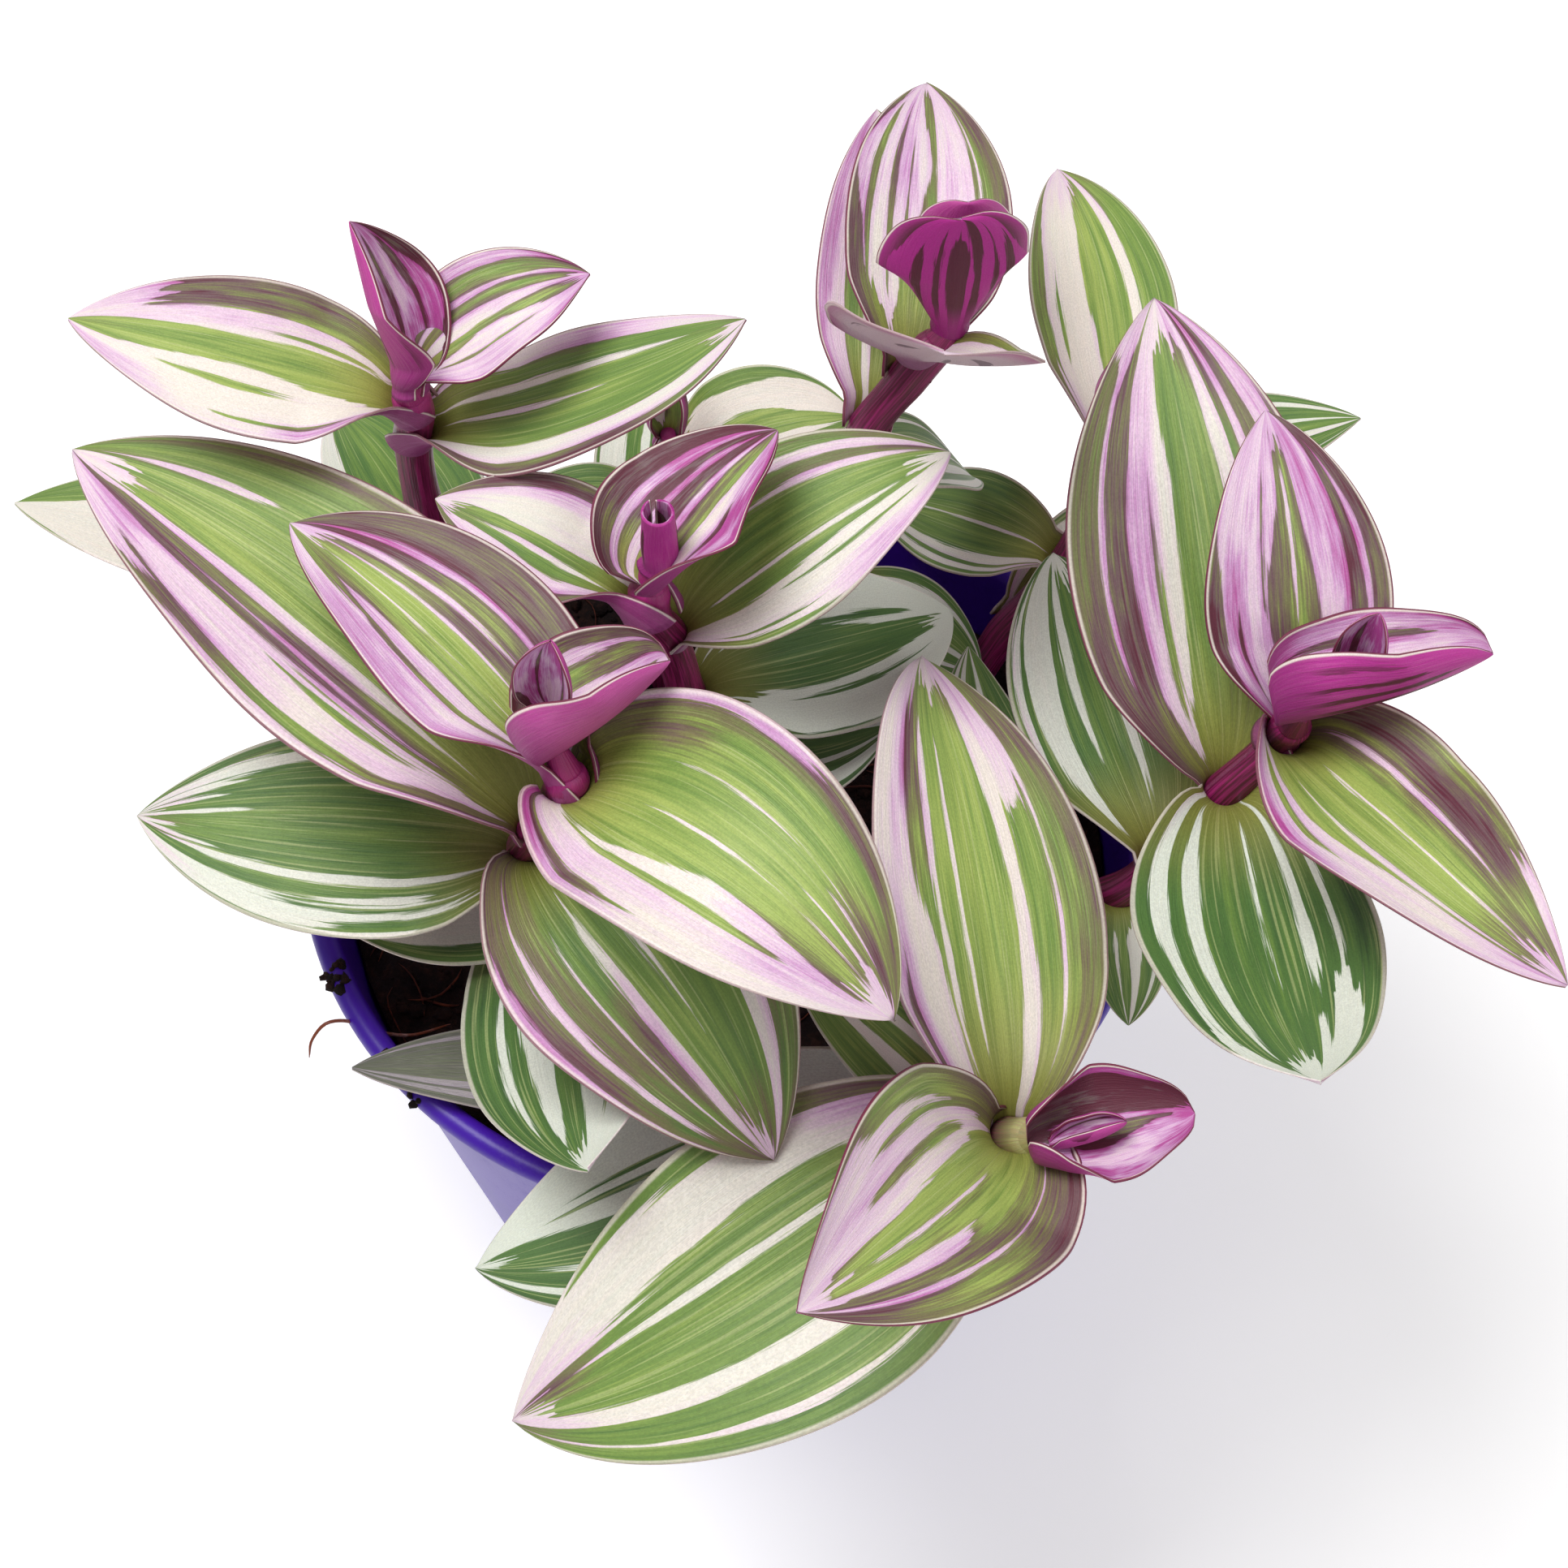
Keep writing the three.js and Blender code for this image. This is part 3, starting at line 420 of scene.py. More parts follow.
SAP_ZONES = {
    "a2": [(0.9, 0.2, 0.3, 0.8, 0.5), (-0.9, 0.15, 0.0, 0.8, 0.8)],
    "a3": [(-0.75, 0.3, 0.1, 0.95, 0.75), (0.85, 0.2, 0.6, 1.2, 0.6), (0.95, 0.14, -0.2, 0.4, 1.6)],
    "b2": [(-0.95, 0.1, 0.3, 0.9, 0.3), (0.0, 0.9, 0.75, 1.1, 0.4)],
    "b3": [(-0.75, 0.22, 0.0, 0.85, 0.75), (-0.3, 0.1, 0.4, 0.9, 0.6), (0.0, 0.9, 0.78, 1.2, 0.6),
           (0.85, 0.15, 0.2, 0.9, 0.5)],
    "b4": [(0.62, 0.3, 0.35, 1.1, 0.7), (-0.9, 0.15, 0.0, 0.9, 0.5), (0.4, 0.1, 0.0, 0.7, 0.8),
           (0.8, 0.3, 0.0, 0.35, 0.5)],
    "b5": [(-0.92, 0.16, -0.2, 0.5, 1.2), (0.8, 0.22, 0.0, 0.5, 0.9), (-0.3, 0.35, 0.55, 1.0, 0.85),
           (0.4, 0.6, 0.68, 1.1, 0.8), (0.88, 0.12, 0.3, 1.0, 0.6), (-0.6, 0.1, 0.1, 0.7, 0.7)],
    "b6": [(-0.7, 0.45, 0.1, 1.05, 1.25), (0.75, 0.3, -0.1, 0.9, 0.6), (0.85, 0.25, -0.2, 0.4, 1.3)],
    "c2": [(0.6, 0.15, 0.2, 1.1, 0.8), (-0.9, 0.2, 0.5, 1.2, 0.8), (0.95, 0.1, 0.0, 1.0, 0.6)],
    "c3": [(0.7, 0.25, 0.0, 1.0, 0.8), (-0.85, 0.2, 0.0, 1.0, 0.8)],
    "c4": [(-0.85, 0.3, -0.2, 1.1, 1.1), (0.5, 0.5, 0.1, 1.1, 1.0)],
    "d3": [(0.0, 0.95, 0.35, 1.1, 0.5), (0.9, 0.15, 0.0, 1.0, 0.7), (-0.9, 0.15, 0.0, 1.0, 0.8)],
    "d2": [(0.8, 0.3, 0.0, 1.1, 0.7)],
    "d4": [(0.0, 0.9, 0.2, 1.1, 0.6)],
    "e2": [(0.9, 0.1, 0.2, 0.9, 0.2)],
    "e3": [(0.6, 0.25, 0.0, 1.0, 0.8), (-0.8, 0.2, 0.1, 0.9, 0.5), (-0.5, 0.3, 0.7, 1.2, 0.75),
           (0.85, 0.12, 0.0, 1.0, 0.8)],
    "e5": [(-0.95, 0.12, -0.2, 0.6, 1.2), (0.75, 0.3, 0.0, 0.9, 0.85), (0.0, 0.9, 0.72, 1.2, 0.6),
           (-0.7, 0.1, 0.1, 0.8, 0.4)],
    "e6": [(0.6, 0.4, 0.0, 1.1, 0.7), (-0.6, 0.35, 0.1, 1.1, 0.9), (0.95, 0.1, -0.2, 0.6, 1.2)],
    "f2": [(-0.8, 0.2, 0.0, 0.35, 0.9), (-0.3, 0.3, 0.72, 1.1, 0.8), (0.4, 0.5, 0.82, 1.2, 0.5)],
    "f3": [(0.9, 0.1, -0.2, 0.5, 1.0), (0.6, 0.15, 0.4, 1.0, 0.9), (-0.85, 0.2, 0.1, 1.0, 0.6),
           (-0.4, 0.25, 0.65, 1.1, 0.5)],
    "f4": [(0.8, 0.35, 0.0, 1.1, 0.5), (-0.5, 0.2, 0.3, 1.0, 0.3), (0.4, 0.15, 0.4, 1.1, 0.3)],
    "g3": [(0.9, 0.2, 0.0, 1.0, 0.4), (0.0, 0.9, 0.7, 1.2, 0.35)],
    "fs0": [(0.5, 0.6, -0.2, 1.2, 1.6), (-0.5, 0.6, -0.2, 1.2, 0.9)],
    "bs0": [(0.5, 0.6, -0.2, 1.2, 0.3)],
    "as0": [(-0.4, 0.6, -0.2, 1.2, 0.9), (0.5, 0.4, 0.0, 1.2, 0.3)],
    "cs0": [(0.0, 1.0, -0.2, 1.2, 0.9)],
    "bs1": [(0.0, 1.0, -0.2, 1.2, 1.1)],
    "es1": [(0.0, 1.0, -0.2, 1.2, 1.1)],
    "fs1": [(0.0, 1.0, -0.2, 1.2, 0.9)],
    "es0": [(0.5, 0.6, 0.3, 1.2, 0.2)],
}
OLD_TONE = (0.2, 0.6)
YOUNG_TONE = (1.0, 0.2)
DRAWN_PLACES = (-0.7, -0.25, 0.3, 0.75)
DRAWN_SHARE = 0.75
TO_THE_END = 1.1


def strokes_for(key, rng):
    """The strokes of one leaf, drawn from the seeded source where it has none of its own."""
    if key in MARKS:
        return MARKS[key]
    drawn = []
    for place in DRAWN_PLACES:
        if rng.random() < DRAWN_SHARE:
            half = rng.uniform(0.03, 0.16)
            drawn.append((place + rng.uniform(-0.1, 0.1), half, rng.uniform(0, 0.2), TO_THE_END))
    return drawn


def tone_for(key):
    """Blush and depth of one leaf."""
    return TONES.get(key, YOUNG_TONE if "s" in key else OLD_TONE)


print("leaves with strokes of their own:", len(MARKS))

# %% [markdown]
# ## One mesh from many tubes
# A leaf and a stem are the same kind of surface: rings of points along a line. A stem's ring is
# round, and a leaf's ring runs over its upper face and back under its lower one. They could be
# modelled with subdivision and a solidify modifier, but with rings the margin, the sheath and
# the thickness are one formula, and every point knows its place on the leaf.
# Each tube gets a rectangle of its own in the UV map, so no two parts of a piece overlap there.
# Its two round ends lie as small discs in the rectangle's border.

# %% Tubes to mesh
UV_MAP = "OFBake"
UV_BORDER = 0.04
CAP_PART = 4
CAP_STEP = 0.2


def tube_faces(rows, ring, first):
    """Quads of a closed tube of rings, as vertex numbers and as places in its rectangle."""
    i, j = np.meshgrid(np.arange(rows - 1), np.arange(ring), indexing="ij")
    after = (j + 1) % ring
    quads = np.stack([i * ring + j, i * ring + after, (i + 1) * ring + after, (i + 1) * ring + j], -1)
    places = np.stack([
        np.stack([i / (rows - 1), j / ring], -1),
        np.stack([i / (rows - 1), (j + 1) / ring], -1),
        np.stack([(i + 1) / (rows - 1), (j + 1) / ring], -1),
        np.stack([(i + 1) / (rows - 1), j / ring], -1),
    ], -2)
    return quads.reshape(-1, 4) + first, places.reshape(-1, 4, 2)


def closed_faces(rows, ring):
    """All the faces of one tube, its two round ends among them."""
    last = (rows - 1) * ring
    ends = [list(range(ring))[::-1], list(range(last, last + ring))]
    return tube_faces(rows, ring, 0)[0].tolist() + ends


def cell_of(number, count):
    """Corner and size of one tube's rectangle in the map."""
    across = math.ceil(math.sqrt(count))
    down = math.ceil(count / across)
    corner = np.array([(number % across) / across, (number // across) / down])
    size = np.array([1 / across, 1 / down])
    return corner + size * UV_BORDER, size * (1 - 2 * UV_BORDER)


def mesh_from_tubes(name, tubes):
    """One object from tubes, each a dict of points (rows, ring, 3) in mm and its values."""
    points, faces, places, values = [], [], [], {}
    first = 0
    for number, tube in enumerate(tubes):
        rows, ring = tube["points"].shape[:2]
        corner, size = cell_of(number, len(tubes))
        quads, inside = tube_faces(rows, ring, first)
        points.append(tube["points"].reshape(-1, 3))
        faces += quads.tolist()
        places.append((corner + inside * size).reshape(-1, 2))
        for end, order in ((0, -1), (rows - 1, 1)):
            faces.append((first + end * ring + np.arange(ring)[::order]).tolist())
            turn = np.linspace(0, 2 * math.pi, ring, endpoint=False)[::order]
            spot = np.stack([np.cos(turn), np.sin(turn)], -1) * size * UV_BORDER / CAP_PART
            beside = (1 + UV_BORDER / 2, CAP_STEP + CAP_STEP * (end > 0))
            places.append(spot + corner + size * beside)
        for key in ("place", "tone", "skin"):
            value = np.asarray(tube[key], np.float32)
            values.setdefault(key, []).append(value.reshape(-1, 3))
        first += rows * ring
    mesh = bpy.data.meshes.new(name)
    mesh.from_pydata((np.concatenate(points) * MM).tolist(), [], faces)
    for key, parts in values.items():
        layer = mesh.attributes.new(key, "FLOAT_VECTOR", "POINT")
        layer.data.foreach_set("vector", np.concatenate(parts).ravel())
    layer = mesh.uv_layers.new(name=UV_MAP)
    layer.data.foreach_set("uv", np.concatenate(places).astype(np.float32).ravel())
    mesh.shade_smooth()
    mesh.update()
    return placed(name, mesh)


# %% [markdown]
# ## The outline and the midrib of a leaf
# The real leaf is fleshy, oval with a long point, arched along its length and dished across,
# and its base wraps the stem as a short open sheath. It could be drawn by hand with a curve for
# its midrib, but some fifty leaves are quicker and truer by formula. The formulas are the solids'
# own. Only the collar, which reaches round the stem at the leaf's base, is new here.

# %% Leaf outline
ROWS = 58
COLUMNS = 50
COLLAR_GONE = 0.30
SHEATH_ROOM = 0.6
NARROWEST = 0.12
FLATTEST = 60


def outline(leaf, u):
    """Half widths along the leaf as shares of the widest one."""
    u = np.clip(u, 0, 1)
    return (u / WIDEST_AT) ** leaf["full"] * ((1 - u) / (1 - WIDEST_AT)) ** leaf["pointed"]


def midrib_way(leaf, u):
    """Directions along the midrib, and its headings in radians."""
    rise = leaf["rise"] + leaf["bend"] * (1 - 2 * u)
    held = leaf["held"] * np.clip(1 - u / SHEATH, 0, 1) ** 2
    rise = np.radians(rise + (SHEATH_RISE - rise) * held)
    heading = np.radians(leaf["heading"] + leaf["sway"] * (2 * u - 1))
    level = np.cos(rise)
    return np.stack([level * np.cos(heading), level * np.sin(heading), np.sin(rise)], -1), heading


def midrib_points(leaf, base, u):
    """Points along the midrib, starting beside the stem."""
    between = (u[1:] + u[:-1]) / 2
    steps = midrib_way(leaf, between)[0] * leaf["long"] / (ROWS - 1)
    start = math.radians(leaf["heading"] - leaf["sway"])
    outward = np.array([math.cos(start), math.sin(start), 0])
    root = np.asarray(base, float) + leaf["shift"] + leaf["away"] * outward
    return root + np.concatenate([np.zeros((1, 3)), np.cumsum(steps, axis=0)])


def half_widths(leaf, u):
    """Half widths in mm, with the collar that reaches round the stem at the base."""
    half = np.maximum(leaf["wide"] / 2 * outline(leaf, u), max(leaf["blunt"], NARROWEST))
    round_stem = (max(leaf["away"], 0) + SHEATH_ROOM) * math.radians(leaf["clasp"])
    return np.maximum(half, round_stem * np.clip(1 - u / COLLAR_GONE, 0, 1))


shares = np.linspace(0, 1, 5)
print("half widths of leaf b5 in mm:", half_widths(leaf_of(STEMS["b"]["leaves"][5]), shares).round(1))

# %% [markdown]
# ## The blade across
# Across, the real leaf is a shallow trough. Its margins wave slowly, a crease runs along the
# midrib and the blade thins towards its margins. Solidify and displace modifiers could do this,
# but arcs of circles between the margins keep every point's place on the leaf. The solids leave
# the wave, the crease and the thin margin out.

# %% Blade across
MARGIN_THICKNESS = 0.35
THINS_LATE = 3
TIP_SHARE = 0.45
CREASE = 0.4
CREASE_WIDTH = 0.07
WAVE = 0.014
WAVE_LATE = 2.4
WAVE_STARTS = 0.12
WAVE_OVER = 0.2
BEATS = (1.3, 2.2)


def dished(leaf, base, u, v):
    """Points and normals of the bent trough, in rows along u and columns across v."""
    way, heading = midrib_way(leaf, u)
    middle = midrib_points(leaf, base, u)
    left = np.stack([-np.sin(heading), np.cos(heading), 0 * heading], -1)
    up = np.cross(way, left)
    turn = (math.radians(leaf["roll"]) * np.clip(u / leaf["rolled_by"], 0, 1))[:, None]
    side = (left * np.cos(turn) + up * np.sin(turn))[:, None]
    face = (up * np.cos(turn) - left * np.sin(turn))[:, None]
    wrapped = np.clip(1 - u / leaf["wrap"], 0, 1) ** leaf["ease"]
    curl = np.radians(leaf["cup"] * (1 - wrapped) + leaf["clasp"] * wrapped)
    half = half_widths(leaf, u)
    curl = np.maximum(curl, half / FLATTEST)
    angle = (curl[:, None] * v)[..., None]
    radius = (half / curl)[:, None, None]
    points = middle[:, None] + radius * (side * np.sin(angle) + face * (1 - np.cos(angle)))
    return points, face * np.cos(angle) - side * np.sin(angle)


def waved(leaf, u, v, rng):
    """How far the crease and the waves move each point off the plain trough, in mm."""
    phase = rng.uniform(0, 2 * math.pi, 2)
    beat = rng.uniform(*BEATS)
    open_blade = np.clip((u - WAVE_STARTS) / WAVE_OVER, 0, 1)
    wave = np.sin(2 * math.pi * beat * u + np.where(v > 0, phase[0], phase[1]))
    lift = WAVE * leaf["wide"] * wave * np.abs(v) ** WAVE_LATE
    return (lift - CREASE * np.exp(-(v / CREASE_WIDTH) ** 2) * (1 - u)) * open_blade


def blade_thickness(u, v):
    """Thickness in mm: full at the base's middle, thin at the margins and the tip."""
    thin = MARGIN_THICKNESS + (THICKNESS - MARGIN_THICKNESS) * (1 - np.abs(v) ** THINS_LATE)
    return thin * (TIP_SHARE + (1 - TIP_SHARE) * np.sqrt(1 - u))


print("margin in mm:", MARGIN_THICKNESS, "tip as a share of the base:", TIP_SHARE)

# %% [markdown]
# ## The strokes and the sap on a leaf
# A stripe starts and ends raggedly, because each file of cells stops where it likes. An image
# could be painted, but a distance to the stripe's edge at every point stays sharp at any size:
# above 0 inside pale cells, below 0 inside green ones. A shader cuts it later.

# %% Strokes and sap
STROKE_STEP = 2.0 / COLUMNS
FRAYED = 0.05
SWELLS = 0.28
SWELL_BEATS = (0.5, 1.3)
OPENS_OVER = 0.16
END_SLOPE = 0.6
ZONE_SOFT = 1.5
ZONE_ENDS = 0.2


def paint_field(strokes, u, v, rng):
    """How far each point lies inside pale cells (above 0) or green ones (below 0)."""
    field = np.full(u.shape, -1.0)
    for place, half, start, end in strokes:
        place = round(place / STROKE_STEP) * STROKE_STEP
        beat, phase = rng.uniform(*SWELL_BEATS), rng.uniform(0, 2 * math.pi)
        swell = 1 + SWELLS * np.sin(2 * math.pi * beat * u + phase)
        slip = FRAYED * rng.uniform(-1, 1, (2, COLUMNS + 1))
        slip = np.concatenate([slip, slip[:, ::-1]], axis=1)
        since = u - start - slip[0] if start > 0 else u + 1
        until = end - u - slip[1] if end < 1 else 2 - u
        opened = np.sqrt(np.clip(since / OPENS_OVER, 0, 1))
        closed = np.sqrt(np.clip(until / OPENS_OVER, 0, 1))
        inside = abs(half) * swell * opened * closed - np.abs(v - place)
        inside = np.minimum(inside, END_SLOPE * np.minimum(since, until))
        field = np.maximum(field, inside) if half > 0 else np.minimum(field, -inside)
    return field


def sap_zones(zones, u, v):
    """How much extra sap lies at each point, from soft-edged zones along the leaf."""
    total = np.zeros_like(u)
    for place, half, start, end, strength in zones:
        across = np.clip(1 - np.abs(v - place) / (half * ZONE_SOFT), 0, 1)
        along = np.clip((u - start) / ZONE_ENDS, 0, 1) * np.clip((end - u) / ZONE_ENDS, 0, 1)
        total = np.maximum(total, strength * np.sqrt(across) * along)
    return total


print("width of one file of cells, as a share of the blade:", STROKE_STEP / 2)

# %% [markdown]
# ## One whole leaf
# The real leaf has an upper and a lower skin that meet at the margin. Two sheets could be joined
# there, but one ring that runs over the upper face and back under the lower one needs no seam.

# %% Whole leaf
def leaf_tube(leaf, base, key, rng):
    """The closed surface of one leaf, with its marks as values at its points."""
    u = np.linspace(0, 1, ROWS)[:, None]
    v = np.linspace(-1, 1, COLUMNS + 1)
    centre, normal = dished(leaf, base, u[:, 0], v)
    centre = centre + normal * waved(leaf, u, v, rng)[..., None]
    half_thick = (blade_thickness(u, v) / 2)[..., None]
    upper = centre + normal * half_thick
    lower = centre - normal * half_thick
    points = np.concatenate([upper, lower[:, ::-1]], axis=1)
    ring_v = np.concatenate([v, v[::-1]])
    blush, depth = tone_for(key)
    seed = rng.uniform(0, 50)
    grid = np.meshgrid(u[:, 0], ring_v, indexing="ij")
    field = paint_field(strokes_for(key, rng), *grid, rng)
    sap = sap_zones(SAP_ZONES.get(key, ()), *grid)
    shape = points.shape[:2]
    below = np.broadcast_to(np.repeat([0.0, 1.0], COLUMNS + 1), shape)
    return {
        "points": points,
        "place": np.stack([*grid, np.full(shape, seed)], -1),
        "tone": np.stack([field, np.full(shape, blush), np.full(shape, depth)], -1),
        "skin": np.stack([below, sap, np.zeros(shape)], -1),
    }


print("faces of one leaf:", (ROWS - 1) * 2 * (COLUMNS + 1) + 2)

# %% [markdown]
# ## A stem
# The stem is a fleshy rod, a little swollen at each node. A bevelled curve would give the rod,
# but rings along a smooth curve through the same points allow the swelling and keep the place
# along the stem for the fine lines of its skin. Its last few millimetres are fresh: TOPS gives how
# pale and how rosy they are.

# %% Stem
STEM_ROWS = 90
STEM_RING = 28
SWELLING = 0.07
SWELL_LENGTH = 2.4
ROUND_TOP = 2.4
FRESH_LENGTH = 5.0
ROSY_TOP = (0.0, 0.8)
TOPS = {"a": (0.0, 1.0), "b": (0.0, 0.8), "c": (0.0, 0.9), "d": (0.0, 0.15), "e": (0.0, 0.2),
        "f": (0.9, 0.0)}
SPAN_STEPS = 24
STRAIGHT_FOOT = 2
FLAT_TOP = 0.02
FRESH_FROM = 1.5


def smooth_path(points, samples):
    """A centripetal curve through the points, sampled evenly by length."""
    points = np.asarray(points, float)
    ends = np.concatenate([[2 * points[0] - points[1]], points, [2 * points[-1] - points[-2]]])
    line = []
    for i in range(1, len(ends) - 2):
        p = ends[i - 1:i + 3]
        t = np.concatenate([[0], np.cumsum(np.linalg.norm(np.diff(p, axis=0), axis=1) ** 0.5)])
        x = np.linspace(t[1], t[2], SPAN_STEPS, endpoint=False)[:, None]
        a = [((t[k + 1] - x) * p[k] + (x - t[k]) * p[k + 1]) / (t[k + 1] - t[k]) for k in range(3)]
        b = [((t[k + 2] - x) * a[k] + (x - t[k]) * a[k + 1]) / (t[k + 2] - t[k]) for k in range(2)]
        line.append(((t[2] - x) * b[0] + (x - t[1]) * b[1]) / (t[2] - t[1]))
    line = np.concatenate(line + [points[-1:]])
    length = np.concatenate([[0], np.cumsum(np.linalg.norm(np.diff(line, axis=0), axis=1))])
    even = np.linspace(0, length[-1], samples)
    return np.stack([np.interp(even, length, line[:, k]) for k in range(3)], -1), even


def rings_along(line, radii, ring):
    """Round rings across a line, turned as little as possible from one to the next."""
    way = np.gradient(line, axis=0)
    way /= np.linalg.norm(way, axis=1)[:, None]
    across = np.cross(way[0], (0.0, 1.0, 0.0))
    across /= np.linalg.norm(across)
    angle = np.linspace(0, 2 * math.pi, ring, endpoint=False)
    rings = []
    for point, direction, radius in zip(line, way, radii):
        across = across - direction * (across @ direction)
        across /= np.linalg.norm(across)
        other = np.cross(direction, across)
        turned = np.cos(angle)[:, None] * across + np.sin(angle)[:, None] * other
        rings.append(point + radius * turned)
    return np.array(rings), angle


def plain_tube(points, length, angle, seed, pale, rosy):
    """A round tube with its place along and round the rod, and how pale and rosy its skin is."""
    shape = points.shape[:2]
    along = np.broadcast_to(np.asarray(length)[:, None], shape)
    place = np.stack([along, np.broadcast_to(angle, shape), np.full(shape, seed)], -1)
    tone = np.zeros(shape + (3,))
    tone[..., 0] = np.broadcast_to(np.reshape(pale, (-1, 1)), shape)
    tone[..., 1] = np.broadcast_to(np.reshape(rosy, (-1, 1)), shape)
    return {"points": points, "place": place, "tone": tone, "skin": np.zeros(shape + (3,))}


def over_bead(point):
    """A point of the plan, whose height counts from the bead, in mm over the floor."""
    x, y, height = point
    return np.array([x, y, BEAD_LEVEL + height], float)


def stem_tube(path, seed, pale, rosy):
    """One stem with its buried end, swollen nodes and rounded top."""
    points = [over_bead(p) for p in path]
    foot = points[0]
    below = [foot - (0, 0, BURIED), foot - (0, 0, BURIED / 2)]
    upright = [foot, foot + (0, 0, STRAIGHT_FOOT)]
    line, length = smooth_path(below + upright + points[1:], STEM_ROWS)
    radii = np.full(STEM_ROWS, STEM_RADIUS)
    for node in points[1:]:
        near = np.linalg.norm(line - node, axis=1)
        radii *= 1 + SWELLING * np.exp(-(near / SWELL_LENGTH) ** 2)
    from_top = length[-1] - length
    dome = 1 - (1 - np.clip(from_top / ROUND_TOP, 0, 1)) ** 2
    radii *= np.sqrt(np.clip(dome, FLAT_TOP, 1))
    points, angle = rings_along(line, radii, STEM_RING)
    fresh = np.clip(FRESH_FROM - from_top / FRESH_LENGTH, 0, 1)
    return plain_tube(points, length, angle, seed, pale * fresh, rosy * fresh)


along_b = smooth_path([over_bead(p) for p in STEMS["b"]["path"]], STEM_ROWS)[1]
print("length of stem b above the soil in mm:", round(along_b[-1]))

# %% [markdown]
# ## Helpers for shader nodes
# The colours of plant, pot and soil are all made of a few kinds of nodes. They could be placed
# one by one, but small helpers make each effect read like a formula. What more than one material
# uses becomes a node group with named inputs and outputs.

# %% Node helpers
NUMBER = "NodeSocketFloat"
COLOUR = "NodeSocketColor"
VECTOR = "NodeSocketVector"
MIX_SHARE = 0
MIX_FIRST = 6
MIX_SECOND = 7
MIX_COLOUR = 2


def linear(red, green, blue):
    """A colour typed as it looks on screen, 0 to 255, as the shader's linear colour."""
    return tuple(((c / 255 + 0.055) / 1.055) ** 2.4 if c > 10 else c / 3295
                 for c in (red, green, blue)) + (1.0,)


def fill(tree, node, inputs):
    """Gives a node's inputs values, or links from other nodes."""
    for name, value in inputs.items():
        socket = node.inputs[name]
        if isinstance(value, bpy.types.NodeSocket):
            tree.links.new(value, socket)
        else:
            socket.default_value = value


def put(tree, kind, inputs=(), **settings):
    """Adds a node, sets its settings and fills its inputs."""
    node = tree.nodes.new(kind)
    for name, value in settings.items():
        setattr(node, name, value)
    fill(tree, node, dict(inputs))
    return node


def calc(tree, operation, first, second=0.0, third=0.0, clamp=False):
    """One sum with up to three numbers."""
    node = put(tree, "ShaderNodeMath", {0: first, 1: second, 2: third}, operation=operation)
    node.use_clamp = clamp
    return node.outputs[0]


def smooth(tree, value, low, high, to_low=0.0, to_high=1.0):
    """A soft step from low to high."""
    node = put(tree, "ShaderNodeMapRange",
               {"Value": value, "From Min": low, "From Max": high, "To Min": to_low,
                "To Max": to_high}, interpolation_type="SMOOTHSTEP")
    return node.outputs["Result"]


def vector(tree, x, y, z):
    """A vector of three numbers."""
    return put(tree, "ShaderNodeCombineXYZ", {0: x, 1: y, 2: z}).outputs[0]


def noise(tree, where, scale=1.0, detail=2.0, roughness=0.5):
    """Noise between 0 and 1 at a place."""
    node = put(tree, "ShaderNodeTexNoise",
               {"Vector": where, "Scale": scale, "Detail": detail, "Roughness": roughness})
    return node.outputs["Fac"]


def blend(tree, share, first, second, mode="MIX"):
    """Two colours mixed: share 0 gives the first one, share 1 the second."""
    inputs = {MIX_SHARE: share, MIX_FIRST: first, MIX_SECOND: second}
    node = put(tree, "ShaderNodeMix", inputs, data_type="RGBA", blend_type=mode)
    return node.outputs[MIX_COLOUR]


def shaded(tree, colour, share):
    """A colour made darker or lighter by a plain factor."""
    grey = put(tree, "ShaderNodeCombineColor", {0: share, 1: share, 2: share}).outputs[0]
    return blend(tree, 1.0, colour, grey, "MULTIPLY")


def new_group(name, inputs, outputs):
    """A node group with named inputs and outputs, and the sockets inside it by name."""
    tree = bpy.data.node_groups.new(name, "ShaderNodeTree")
    for label, kind, value in inputs:
        socket = tree.interface.new_socket(label, in_out="INPUT", socket_type=kind)
        socket.default_value = value
    for label, kind in outputs:
        tree.interface.new_socket(label, in_out="OUTPUT", socket_type=kind)
    return tree, put(tree, "NodeGroupInput").outputs, put(tree, "NodeGroupOutput").inputs


def group_in(tree, group, inputs):
    """The outputs of a node group, placed in a tree with these inputs."""
    return put(tree, "ShaderNodeGroup", inputs, node_tree=group).outputs


print("mid grey on screen as a linear value:", round(linear(128, 128, 128)[0], 3))

# %% [markdown]
# ## The veins group
# Fine lines run the length of a leaf, fresh or dried. A painted image would smear where the blade
# narrows, so the group stretches noise along the leaf's own stations instead. It gives a broad
# tone, a fine one, a few bright lines and a height for the bump. The pigment group says how many
# lines lie across.

# %% Veins group
BROAD_ACROSS = 0.25
FINE_ALONG = 1.8
LINE_SLOW = 0.8
LINE_BAND = (0.58, 0.68)
OTHER_SEED = 13.0


